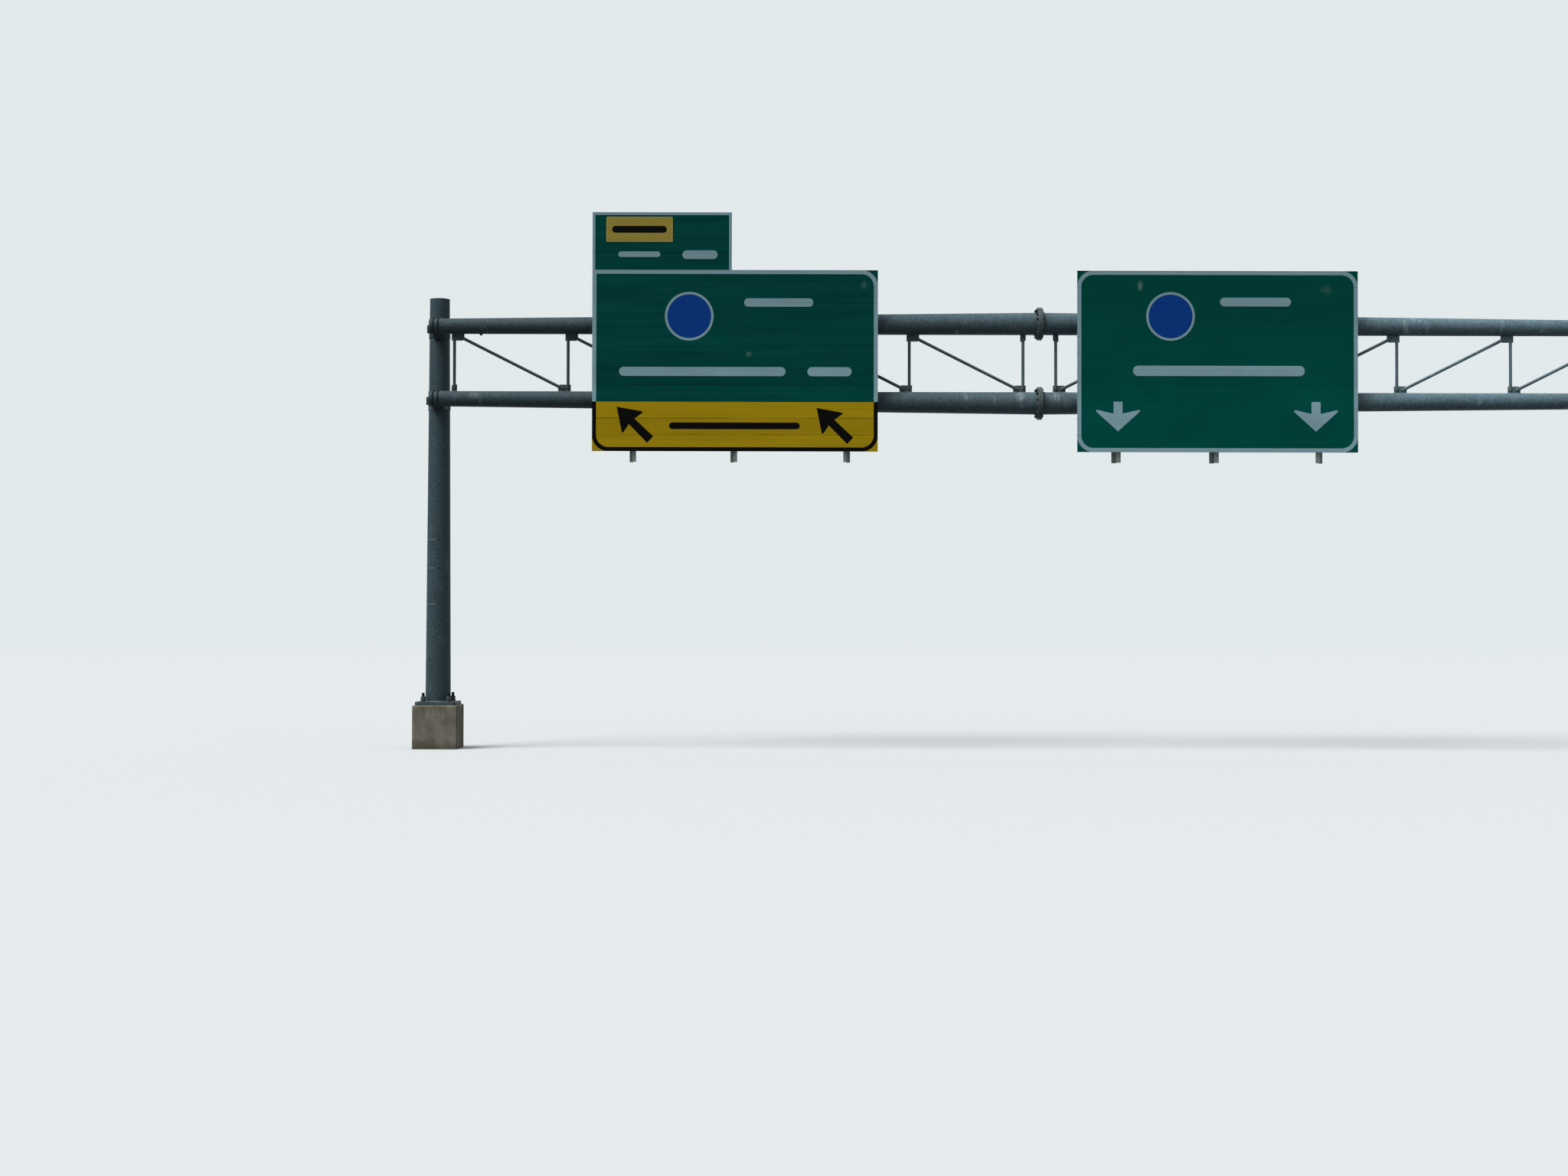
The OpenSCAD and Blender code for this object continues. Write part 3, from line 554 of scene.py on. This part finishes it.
halves = [(side, level) for side in ("left", "right") for level in ("upper", "lower")]
saddles = [f"{side}_{level}_saddle" for side, level in halves]
bands = ["left_rear_bands", "right_rear_bands"]
saddle_zinc = zinc_finish("saddle_zinc", Colour=paint(60, 74, 80), Mottle=0.8, Clouds=0.3,
                          Rust=0.12)
# The U-bolts are darker than the saddles: painted shade for the shadows beside them.
shaded_rod_zinc = zinc_finish("shaded_rod_zinc", Colour=paint(34, 41, 45), Mottle=0.5, Clouds=0.4,
                       Rust=0.25)
coat(saddle_zinc, *saddles, *bands)
coat(shaded_rod_zinc, "saddle_u_bolts")
soften(0.0015, *saddles, *bands)
rib_outside = 0.096
plate_back = -0.2496
ear_reach = 0.036
ear_front = -0.025
ear_h = 0.15
saddle_weld = 0.0045
weld_end = 0.004
proud = 0.001
shape = bmesh.new()
for node in saddles:
    low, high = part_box(node)
    middle = (low + high) / 2
    shell_r = (high.x - low.x) / 2 - ear_reach
    rib_line = -math.sqrt(shell_r ** 2 - rib_outside ** 2)
    ear_line = math.sqrt(shell_r ** 2 - ear_front ** 2)
    for side in (-1, 1):
        x = middle.x + side * (rib_outside + proud)
        for y in (plate_back + proud, rib_line - proud):
            start, end = (x, y, low.z + weld_end), (x, y, high.z - weld_end)
            add_bead(shape, start, end, saddle_weld)
        x, y = middle.x + side * (ear_line + proud), ear_front - proud
        start, end = (x, y, middle.z - ear_h / 2), (x, y, middle.z + ear_h / 2)
        add_bead(shape, start, end, saddle_weld)
make_piece("saddle_welds", shape, weld_zinc)


# Ear bolts: galvanised hexagon bolts along Y. They pull each saddle and its rear band
# together round the pole, through their ears.
def add_bolt(shape, place, low, high, d, nut_first):
    """A hexagon bolt along the Z of a place, with a washer under its head and under its
    nut. Its head and nut are as large as those of the CAD bolt, which ends at low and high."""
    head, nut, washer, tail = head_h * d, nut_h * d, washer_h * d, tail_h * d
    if nut_first:
        place = place @ Matrix.Rotation(math.pi, 4, "X")
        low, high = -high, -low
    under_head = low + head + washer
    under_nut = high - tail - nut - washer
    add_drum(shape, place, low, low + head, corner_r * d, 6, hex_edge * d)
    add_drum(shape, place, low + head, under_head, washer_r * d, 24)
    add_drum(shape, place, low + head / 2, under_nut + washer, d / 2, 16)
    add_drum(shape, place, under_nut, under_nut + washer, washer_r * d, 24)
    add_drum(shape, place, under_nut + washer, high - tail, corner_r * d, 6, hex_edge * d)
    add_thread(shape, place, high - tail - 0.001, high, d / 2, bolt_pitch * d)


ear_bolt_d = 0.02
along_y = Matrix.Rotation(math.radians(-90), 4, "X")
shape = bmesh.new()
for low, high in solids("ear_bolts"):
    half = (high.y - low.y) / 2
    place = Matrix.Translation((low + high) / 2) @ along_y
    add_bolt(shape, place, -half, half, ear_bolt_d, False)
piece = make_piece("ear_bolt_set", shape, bolt_zinc)
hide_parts("ear_bolts")


# Chords: tapered galvanised tubes of up to 416 mm, with flat end caps. Pale stains run
# down the lower chord beside the splice.
def chord_marks(tree, place, colour):
    """Pale salts that water has left on the chords, and a painted sheen, paler to the right."""
    along = add(tree, "SeparateXYZ", {0: place}).outputs["X"]
    # Painted sheen: the zinc grows paler towards +X.
    colour = brighten(tree, colour, ramp(tree, along, 4, 20, 0.72, 1.85))
    smear = noise(tree, place, 1, 5, 0.7, stretch=(16, 16, 6), distortion=0.8)
    for *spot, strength in chord_stains:
        share = times(tree, worn_spot(tree, place, spot, smear, 0.38, 0.6), strength)
        colour = blend(tree, share, colour, paint(158, 170, 170))
    return colour


# X, Z, half sizes along them, and strength
chord_stains = [
    (0.72, 6.58, 0.13, 0.09, 0.3),
    (9.87, 6.57, 0.07, 0.1, 0.3),
    (10.88, 6.58, 0.11, 0.14, 0.6),
    (11.545, 6.58, 0.09, 0.14, 0.6),
    (9.7, 7.78, 0.07, 0.05, 0.4),
]
chords = [f"{side}_{level}_chord" for side, level in halves]
chord_zinc = zinc_finish("chord_zinc", chord_marks, Colour=paint(67, 82, 88), Mottle=0.9,
                         Clouds=0.28, White_Rust=0.2)
coat(chord_zinc, *chords, "chord_end_caps")
coat(bolt_zinc, "cable_plug")

# Splices: thick flange rings bolted face to face at the middle of the span, with brown
# rust mottle between the bolts. Fillet welds join them to the chords.
flanges = ["upper_splice_flanges", "lower_splice_flanges"]
flange_zinc = zinc_finish("flange_zinc", Colour=paint(74, 82, 84), Mottle=0.8, Clouds=0.5,
                          Rust=0.22)
splice_zinc = zinc_finish("splice_zinc", Colour=paint(56, 63, 65), Mottle=0.6, Clouds=0.9,
                          Rust=0.3, White_Rust=0.5)
coat(flange_zinc, *flanges)
soften(0.002, *flanges, "chord_end_caps")
splice_bolt_d = 0.03
along_x = Matrix.Rotation(math.radians(90), 4, "Y")
shape = bmesh.new()
for low, high in solids("splice_bolts"):
    half = (high.x - low.x) / 2
    place = Matrix.Translation((low + high) / 2) @ along_x
    add_bolt(shape, place, -half, half, splice_bolt_d, True)
piece = make_piece("splice_bolt_set", shape, splice_zinc)
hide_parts("splice_bolts")

flange_weld = 0.009
end_weld = 0.004
chord_low, chord_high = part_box("left_upper_chord")
chord_y = (chord_low.y + chord_high.y) / 2
splice_r = (chord_high.y - chord_low.y) / 2
shape = bmesh.new()
for node in flanges:
    low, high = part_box(node)
    for x in (low.x, high.x):
        middle = (x, chord_y, (low.z + high.z) / 2)
        add_ring(shape, middle, (1, 0, 0), splice_r, flange_weld)
for low, high in solids("chord_end_caps"):
    x = high.x if high.x < span / 2 else low.x
    middle = (x, chord_y, (low.z + high.z) / 2)
    add_ring(shape, middle, (1, 0, 0), (high.y - low.y) / 2, end_weld)
make_piece("chord_welds", shape, weld_zinc)


# Web: gusset plates welded to the chords, and slotted pipes welded over them. The lower
# ends of the diagonals, where water gathers, have a brown-green tint.
def web_marks(tree, place, colour):
    """Moss and dirt at the lower ends, and a painted sheen, paler to the right."""
    part = add(tree, "SeparateXYZ", {0: place}).outputs
    # Painted sheen: the zinc grows paler towards +X.
    colour = brighten(tree, colour, ramp(tree, part["X"], 4, 20, 0.8, 2.2))
    growth = ramp(tree, noise(tree, place, 1, 5, 0.7, stretch=(5, 5, 5)), 0.3, 0.65)
    share = times(tree, ramp(tree, part["Z"], 7.0, 6.72), growth)
    return blend(tree, times(tree, share, 0.5), colour, paint(74, 74, 56))


webs = [f"{side}_{kind}" for side in ("left", "right") for kind in ("verticals", "diagonals")]
web_zinc = zinc_finish("web_zinc", web_marks, Colour=paint(66, 81, 87), Mottle=0.7,
                       Clouds=0.3, Rust=0.1)
coat(web_zinc, "upper_gussets", "lower_gussets", *webs)
soften(0.001, "upper_gussets", "lower_gussets")
gusset_t = 0.012
gusset_h = 0.125
gusset_weld = 0.006
gusset_side = gusset_t / 2 + 0.002
web_r = 0.0285
web_lap = 0.078
web_weld = 0.0035
brace_start = 0.105
brace_lap = 0.095
upper_edge = chord_low.z
lower_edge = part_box("left_lower_chord")[1].z
shape = bmesh.new()
for node, edge in (("upper_gussets", upper_edge), ("lower_gussets", lower_edge)):
    for low, high in solids(node):
        for y in (chord_y - gusset_side, chord_y + gusset_side):
            add_bead(shape, (low.x, y, edge), (high.x, y, edge), gusset_weld)
across = math.sqrt(web_r ** 2 - gusset_t ** 2 / 4) + proud
beside = gusset_t / 2 + proud
slots = [(u, v) for u in (-across, across) for v in (-beside, beside)]
left_verticals = [(low.x + high.x) / 2 for low, high in solids("left_verticals")]
verticals = sorted(left_verticals + [span - x for x in left_verticals])
laps = ((upper_edge - gusset_h, web_lap), (lower_edge + gusset_h, -web_lap))
for x in verticals:
    for u, v in slots:
        for z, lap in laps:
            foot = Vector((x + u, chord_y + v, z))
            add_bead(shape, foot, foot + Vector((0, 0, lap)), web_weld)
for left, right in zip(verticals, verticals[1:]):
    if left < span / 2 < right:
        continue
    above, below = (left, right) if right < span / 2 else (right, left)
    ends = [Vector((above, chord_y, upper_edge)), Vector((below, chord_y, lower_edge))]
    for one, other in (ends, ends[::-1]):
        along = (other - one).normalized()
        sideways = along.cross(Vector((0, 1, 0)))
        for u, v in slots:
            foot = one + along * brace_start + sideways * u + Vector((0, v, 0))
            add_bead(shape, foot, foot + along * brace_lap, web_weld)
make_piece("web_welds", shape, weld_zinc)

# Sign planks: aluminium extrusions with reflective film on their faces. Each plank's film
# has its own tone, fine level streaks and paler patches that grow stronger towards the
# bottom, and dirt lies along the joints.
sign_low, sign_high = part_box("through_sign_planks")
exit_low, exit_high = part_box("exit_sign_planks")
band_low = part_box("lane_band_planks")[0]
tab_low, tab_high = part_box("exit_tab_planks")
face_y = sign_low.y
plank_rows = 11
plank_pitch = (sign_high.z - sign_low.z) / plank_rows
film_inputs = [
    ("Colour", "Color", paint(5, 70, 60)),
    ("Tone", "Float", 0.14),
    ("Streaks", "Float", 0.2),
    ("Bleach", "Float", 0.2),
    ("Seam", "Float", 0.4),
]
film, given, result = new_group("weathered_film", film_inputs)
place = add(film, "TexCoord").outputs["Object"]
height = add(film, "SeparateXYZ", {0: place}).outputs[2]
row = calc(film, "DIVIDE", calc(film, "SUBTRACT", height, sign_low.z), plank_pitch)
row_seed = {"W": calc(film, "FLOOR", row)}
row_tone = add(film, "TexWhiteNoise", row_seed, noise_dimensions="1D").outputs["Value"]
within = calc(film, "FRACT", row)
to_joint = calc(film, "MINIMUM", within, calc(film, "SUBTRACT", 1.0, within))
joint = ramp(film, times(film, to_joint, plank_pitch), 0.014, 0.002)
dirty = noise(film, place, 1, 4, 0.6, stretch=(0.8, 1, 3))
seam = times(film, joint, ramp(film, dirty, 0.38, 0.62, 0.15, 1.0))
seam = times(film, seam, given["Seam"])
streak = noise(film, place, 1, 5, 0.72, stretch=(0.4, 1, 24))
smear = noise(film, place, 1, 4, 0.6, stretch=(0.35, 1, 5))
patch = noise(film, place, 1.3, 6, 0.6, stretch=(0.55, 1, 0.8))
tone = calc(film, "MULTIPLY_ADD", calc(film, "SUBTRACT", row_tone, 0.5), given["Tone"], 1.0)
uneven = calc(film, "MULTIPLY_ADD", smear, 0.5, times(film, streak, 0.5))
uneven = calc(film, "SUBTRACT", uneven, 0.5)
tone = calc(film, "MULTIPLY_ADD", uneven, given["Streaks"], tone)
tone = times(film, tone, calc(film, "SUBTRACT", 1.0, seam))
# Paler patches, stronger towards the bottom.
low_down = ramp(film, height, sign_high.z, sign_low.z, 0.2, 1.0)
paling_share = times(film, ramp(film, patch, 0.4, 0.7, 0.5, 1.0), low_down)
tone = calc(film, "MULTIPLY_ADD", paling_share, given["Bleach"], tone)
colour = brighten(film, given["Colour"], tone)
rough = calc(film, "MULTIPLY_ADD", patch, 0.2, 0.38)
relief = calc(film, "SUBTRACT", times(film, streak, 0.1), seam)
connect(film, result, Colour=colour, Roughness=rough, Height=relief)

# Pale bird marks: X, Z, half sizes along them, and strength
pale_spots = [
    (7.967, 8.608, 0.11, 0.1, 0.2),
    (5.837, 7.324, 0.07, 0.07, 0.3),
    (13.075, 8.608, 0.08, 0.13, 0.45),
    (16.503, 8.537, 0.15, 0.13, 0.15),
]


def plank_finish(name, **values):
    """Film on the plank's face, with bird marks, and mill-finish aluminium behind it."""
    material, tree, shader, place = new_finish(name)
    skin = use_group(tree, film, **values)
    depth = add(tree, "SeparateXYZ", {0: place}).outputs["Y"]
    face = ramp(tree, depth, face_y + 0.0007, face_y + 0.0004)
    lines = noise(tree, place, 1, 3, 0.7, stretch=(0.3, 90, 90))
    oxide = noise(tree, place, 2.2, 5, 0.6, stretch=(0.7, 1, 1.4))
    bare = blend(tree, oxide, paint(136, 142, 144), paint(166, 171, 172))
    bare = brighten(tree, bare, calc(tree, "MULTIPLY_ADD", lines, 0.24, 0.88))
    bird = noise(tree, place, 1, 5, 0.7, stretch=(12, 1, 9), distortion=0.6)
    front = skin["Colour"]
    for *spot, strength in pale_spots:
        share = times(tree, worn_spot(tree, place, spot, bird, 0.36, 0.58), strength)
        front = blend(tree, share, front, paint(120, 146, 142))
    colour = blend(tree, face, bare, front)
    bare_rough = times(tree, calc(tree, "SUBTRACT", 1.0, face), 0.46)
    rough = calc(tree, "ADD", times(tree, face, skin["Roughness"]), bare_rough)
    metal = calc(tree, "MULTIPLY_ADD", face, -0.5, 0.5)
    connect(tree, shader, Base_Color=colour, Roughness=rough, Metallic=metal)
    connect(tree, shader, Specular_IOR_Level=0.02, Normal=bump(tree, skin["Height"], 0.0012))
    return material


exit_green = plank_finish("exit_green", Colour=paint(8, 67, 62), Tone=0.2, Streaks=1.6,
                          Bleach=0.12, Seam=0.3)
through_green = plank_finish("through_green", Colour=paint(6, 67, 61), Tone=0.07,
                             Streaks=0.5, Bleach=0.68, Seam=0.14)
yellow_planks = plank_finish("yellow_planks", Colour=paint(160, 134, 24), Tone=0.1,
                             Streaks=0.95, Bleach=0.05, Seam=0.5)
coat(exit_green, "exit_sign_planks", "exit_tab_planks")
coat(through_green, "through_sign_planks")
coat(yellow_planks, "lane_band_planks")

# Joint shade: dark strips behind the narrow joints between the planks, painted shade for
# the dark inside of the joints, so that no light shows through them. The exit tab's lowest
# joint is at its foot.
shade_back = 0.004
shade_depth = 0.005
shade_h = 0.0005
shade_short = 0.004
joint_spans = ((sign_low, sign_high, 1), (band_low, exit_high, 1), (tab_low, tab_high, 0))
shape = bmesh.new()
for low, high, first in joint_spans:
    size = Matrix.Diagonal((high.x - low.x - shade_short, shade_depth, shade_h, 1))
    for i in range(first, math.ceil((high.z - low.z) / plank_pitch - 0.1)):
        middle = ((low.x + high.x) / 2, low.y + shade_back, low.z + i * plank_pitch)
        bmesh.ops.create_cube(shape, size=1, matrix=Matrix.Translation(middle) @ size)
make_piece("joint_shade", shape, rubber)


# Borders: strips of pale or black film along the signs' edges, with round corner pieces.
# Each is cut from film on thin sheet and lies on the planks.
def flat_shape(left, bottom, right, top, y):
    """A bmesh with one upright rectangle that faces -Y."""
    shape = bmesh.new()
    corners = [(left, y, bottom), (right, y, bottom), (right, y, top), (left, y, top)]
    shape.faces.new([shape.verts.new(corner) for corner in corners])
    shape.normal_update()
    return shape


def round_corners(shape, corners, radius, segments=16):
    """Rounds the corners of a flat shape that lie nearest to the given X and Z."""
    chosen = []
    for x, z in corners:
        chosen.append(min(shape.verts, key=lambda v: math.hypot(v.co.x - x, v.co.z - z)))
    round_off(shape, chosen, radius, segments, "VERTICES")


def thicken(shape, depth):
    """Gives a flat shape its thickness towards -Y."""
    made = bmesh.ops.extrude_face_region(shape, geom=shape.faces[:])
    moved = [item for item in made["geom"] if isinstance(item, bmesh.types.BMVert)]
    bmesh.ops.translate(shape, vec=(0, -depth, 0), verts=moved)


def border_shape(left, bottom, right, top, rounded, radius, width):
    """A ring along the edge of a rectangle, with the given corners rounded."""
    shape = flat_shape(left, bottom, right, top, face_y)
    if rounded:
        round_corners(shape, rounded, radius)
    ring = bmesh.ops.inset_region(shape, faces=shape.faces[:], thickness=width,
                                  use_boundary=True, use_even_offset=True)["faces"]
    inner = [face for face in shape.faces if face not in ring]
    bmesh.ops.delete(shape, geom=inner, context="FACES")
    return shape


def trim(shape, height, keep_above):
    """Cuts a flat shape at a height, and keeps what is above or below it."""
    everything = shape.verts[:] + shape.edges[:] + shape.faces[:]
    bmesh.ops.bisect_plane(shape, geom=everything, plane_co=(0, 0, height),
                           plane_no=(0, 0, 1), clear_inner=keep_above,
                           clear_outer=not keep_above)
    loose = [edge for edge in shape.edges if not edge.link_faces]
    bmesh.ops.delete(shape, geom=loose, context="EDGES")


def film_finish(name, **values):
    """Film on thin sheet."""
    material, tree, shader, _ = new_finish(name)
    skin = use_group(tree, film, **values)
    connect(tree, shader, Base_Color=skin["Colour"], Roughness=skin["Roughness"])
    connect(tree, shader, Specular_IOR_Level=0.02, Normal=bump(tree, skin["Height"], 0.0006))
    return material


film_depth = 0.0008
border_w = 0.075
tab_border_w = 0.051
round_r = 0.3
pale_film = film_finish("pale_film", Colour=paint(120, 148, 156), Tone=0.08, Streaks=0.3,
                        Bleach=0.45, Seam=0.12)
black_film = film_finish("black_film", Colour=paint(20, 20, 20), Tone=0.1, Streaks=0.5,
                         Bleach=0.05, Seam=0.1)

left, bottom, right, top = sign_low.x, sign_low.z, sign_high.x, sign_high.z
through_corners = [(left, bottom), (right, bottom), (right, top), (left, top)]
shape = border_shape(left, bottom, right, top, through_corners, round_r, border_w)
thicken(shape, film_depth)
make_piece("through_sign_border", shape, pale_film)

left, bottom, right, top = exit_low.x, band_low.z, exit_high.x, exit_high.z
exit_corners = [(left, bottom), (right, bottom), (right, top)]
exit_borders = (("exit_sign_border", pale_film, True), ("lane_band_border", black_film, False))
for name, material, keep_above in exit_borders:
    shape = border_shape(left, bottom, right, top, exit_corners, round_r, border_w)
    trim(shape, exit_low.z, keep_above)
    thicken(shape, film_depth)
    make_piece(name, shape, material)

shape = border_shape(tab_low.x, tab_low.z - tab_border_w, tab_high.x, tab_high.z, [], 0,
                     tab_border_w)
trim(shape, tab_low.z, True)
thicken(shape, film_depth)
make_piece("exit_tab_border", shape, pale_film)

# Border joints: dark lines of dirt where the round corner pieces of film meet the straight
# strips. The black border's own joints don't show.
joint_w = 0.0025
joint_depth = 0.0004
joints = [(corner, sign_low, sign_high) for corner in through_corners]
joints.append((exit_corners[-1], exit_low, exit_high))
shape = bmesh.new()
for (x, z), low, high in joints:
    to_x = 1 if x < (low.x + high.x) / 2 else -1
    to_z = 1 if z < (low.z + high.z) / 2 else -1
    across_top = (x + to_x * round_r, z + to_z * border_w / 2, joint_w, border_w)
    across_side = (x + to_x * border_w / 2, z + to_z * round_r, border_w, joint_w)
    for middle_x, middle_z, size_x, size_z in (across_top, across_side):
        middle = Matrix.Translation((middle_x, face_y - film_depth, middle_z))
        size = Matrix.Diagonal((size_x, joint_depth, size_z, 1))
        bmesh.ops.create_cube(shape, size=1, matrix=middle @ size)
make_piece("border_joints", shape, black_film)


# Arrows: black ones on the yellow band point up to the left, and pale ones on the through
# sign point down. Each is cut from film, with rounded barbs and a shaft that widens.
def make_arrow(name, material, tip, turn, length, head, notch, half_head, half_neck,
               half_end, barb):
    """An arrow that points along -X when it isn't turned, with its tip at an X and Z. Its
    barbs would be sharp at head and half_head, and are rounded from barb away on."""
    outline = [(0, 0), (head, -half_head), (notch, -half_neck), (length, -half_end)]
    outline += [(x, -z) for x, z in reversed(outline[1:])]
    shape = bmesh.new()
    shape.faces.new([shape.verts.new((x, 0, z)) for x, z in outline])
    round_corners(shape, [(head, half_head), (head, -half_head)], barb, 8)
    turned = Matrix.Rotation(turn, 3, "Y")
    bmesh.ops.rotate(shape, cent=(0, 0, 0), matrix=turned, verts=shape.verts)
    bmesh.ops.translate(shape, vec=(tip[0], face_y, tip[1]), verts=shape.verts)
    thicken(shape, film_depth)
    make_piece(name, shape, material)


for i, tip in enumerate(((3.402, 6.348), (7.093, 6.331))):
    make_arrow(f"lane_arrow_{i + 1}", black_film, tip, math.radians(44.3), length=0.867,
               head=0.427, notch=0.387, half_head=0.29, half_neck=0.073, half_end=0.083,
               barb=0.052)
for i, tip in enumerate(((12.657, 5.91), (16.31, 5.91))):
    make_arrow(f"down_arrow_{i + 1}", pale_film, tip, math.radians(-90), length=0.55,
               head=0.414, notch=0.328, half_head=0.456, half_neck=0.084, half_end=0.084,
               barb=0.1)

# Plaque: a thin yellow plate with a paler rim, fixed flat on the exit tab. A layer of
# film covers it inside the rim.
plaque_left, plaque_right = 3.204, 4.427
plaque_bottom, plaque_top = 9.4, 9.861
plaque_t = 0.003
plaque_rim = 0.011
plaque_film = film_finish("plaque_film", Colour=paint(146, 131, 62), Tone=0.05, Streaks=0.5,
                          Bleach=0.1, Seam=0.0)
rim_film = film_finish("rim_film", Colour=paint(182, 160, 84), Tone=0.05, Streaks=0.3,
                       Bleach=0.1, Seam=0.0)
plate_layer = ("left_exit_plaque", rim_film, 0, face_y, plaque_t, 0.02)
film_layer = ("left_exit_film", plaque_film, plaque_rim, face_y - plaque_t, film_depth, 0.01)
for name, material, inset, y, depth, radius in (plate_layer, film_layer):
    shape = flat_shape(plaque_left + inset, plaque_bottom + inset, plaque_right - inset,
                       plaque_top - inset, y)
    round_corners(shape, [(v.co.x, v.co.z) for v in shape.verts], radius, 5)
    thicken(shape, depth)
    make_piece(name, shape, material)


# Legend: plain bars of film, about as heavy as lines of words on a sign, with nothing
# to read.
def make_bar(name, material, left, bottom, right, top, front=face_y):
    """A bar with round ends along the middle of a box, four tenths as high as it."""
    middle = (bottom + top) / 2
    half = (top - bottom) * 0.2
    shape = flat_shape(left, middle - half, right, middle + half, front)
    round_corners(shape, [(v.co.x, v.co.z) for v in shape.verts], half * 0.98, 8)
    thicken(shape, film_depth)
    make_piece(name, shape, material)


plaque_face = face_y - plaque_t - film_depth
make_bar("plaque_bar", black_film, 3.31, 9.47, 4.32, 9.79, plaque_face)
pale_lines = {
    "tab_bar_left": (3.424, 9.040, 4.200, 9.299),
    "tab_bar_right": (4.609, 8.965, 5.258, 9.361),
    "exit_bar_top": (5.752, 8.086, 7.028, 8.474),
    "exit_bar_long": (3.445, 6.792, 6.518, 7.211),
    "exit_bar_short": (6.922, 6.792, 7.739, 7.211),
    "through_bar_top": (14.541, 8.104, 15.850, 8.509),
    "through_bar_long": (12.934, 6.794, 16.103, 7.268),
}
for name, edges in pale_lines.items():
    make_bar(name, pale_film, *edges)
make_bar("lane_bar", black_film, 4.370, 5.843, 6.782, 6.153)

# Route markers: plain blue discs with pale rims, one on each sign. Each disc is a layer
# of film on the layer of its rim.
marker_r = 0.45
blue_film = film_finish("blue_film", Colour=paint(22, 62, 132), Tone=0.08, Streaks=0.2,
                        Bleach=0.05, Seam=0.2)
rim_layer = ("rim", pale_film, marker_r, face_y)
disc_layer = ("disc", blue_film, marker_r * 0.9, face_y - film_depth)
for marker, x, z in (("exit_marker", 4.738, 8.024), ("through_marker", 13.627, 8.038)):
    for part, material, radius, front in (rim_layer, disc_layer):
        shape = bmesh.new()
        bmesh.ops.create_circle(shape, cap_ends=True, segments=72, radius=radius)
        bmesh.ops.rotate(shape, cent=(0, 0, 0), matrix=upright, verts=shape.verts)
        bmesh.ops.translate(shape, vec=(x, front, z), verts=shape.verts)
        thicken(shape, film_depth)
        make_piece(f"{marker}_{part}", shape, material)

# Hangers: Z-shaped aluminium extrusions behind the signs, pale grey with long drawing
# lines, and clamped to the chords with seats and U-bolts.
hangers = ["exit_sign_hangers", "through_sign_hangers"]
hanger_metal, tree, shader, place = new_finish("hanger_metal")
lines = noise(tree, place, 1, 3, 0.7, stretch=(80, 80, 0.35))
clouds = noise(tree, place, 3, 5, 0.6, stretch=(1, 1, 0.5))
colour = blend(tree, clouds, paint(100, 108, 104), paint(130, 138, 134))
colour = brighten(tree, colour, calc(tree, "MULTIPLY_ADD", lines, 0.24, 0.88))
rough = calc(tree, "MULTIPLY_ADD", clouds, 0.2, 0.4)
connect(tree, shader, Base_Color=colour, Roughness=rough, Metallic=0.35)
connect(tree, shader, Specular_IOR_Level=0.3, Normal=bump(tree, lines, 0.0004))
coat(hanger_metal, *hangers, "exit_tab_post")
coat(bolt_zinc, "exit_hanger_seats", "through_hanger_seats")
coat(shaded_rod_zinc, "hanger_u_bolts")
soften(0.001, *hangers, "exit_tab_post")

# Post clips: cast aluminium clips that hold the lips of the planks to the free edge of
# each hanger's front flange, one at every joint, with a stud and a nut.
clip_w = 0.028
clip_top = 0.0153
clip_edge = 0.001
clip_outline = [
    (0.001, 0.0),
    (0.03, 0.0),
    (0.03, 0.007),
    (0.018, clip_top),
    (-0.018, clip_top),
    (-0.018, 0.0088),
    (0.001, 0.0088),
]
stud_x = 0.0095
stud_d = 0.0095
stud_low, stud_tip = 0.002, 0.032
washer_top, nut_top = 0.0173, 0.0253
end_room = 0.03
plank_back = sign_high.y
free_sides = (1, 1, -1)
posts = [(*box, hand) for node in hangers for box, hand in zip(solids(node), free_sides)]
posts += [(*box, 1) for box in solids("exit_tab_post")]
clips = bmesh.new()
studs = bmesh.new()
for low, high, hand in posts:
    edge = high.x if hand > 0 else low.x
    rows = range(1, math.ceil((high.z - sign_low.z) / plank_pitch))
    for z in (sign_low.z + i * plank_pitch for i in rows):
        if not low.z + end_room < z < high.z - end_room:
            continue
        outline = [(edge + hand * u, plank_back + v, z - clip_w / 2) for u, v in clip_outline]
        foot = [clips.verts.new(corner) for corner in outline]
        made = bmesh.ops.extrude_face_region(clips, geom=[clips.faces.new(foot)])
        raised = [item for item in made["geom"] if isinstance(item, bmesh.types.BMVert)]
        bmesh.ops.translate(clips, vec=(0, 0, clip_w), verts=raised)
        rims = {e for v in foot + raised for e in v.link_edges}
        round_off(clips, rims, clip_edge, 1)
        place = Matrix.Translation((edge + hand * stud_x, plank_back, z)) @ along_y
        add_drum(studs, place, stud_low, stud_tip, stud_d / 2, 10)
        add_drum(studs, place, clip_top, washer_top, stud_d * 1.1, 16)
        add_drum(studs, place, washer_top, nut_top, stud_d, 6)
make_piece("post_clips", clips, hanger_metal)
make_piece("clip_studs", studs, bolt_zinc)
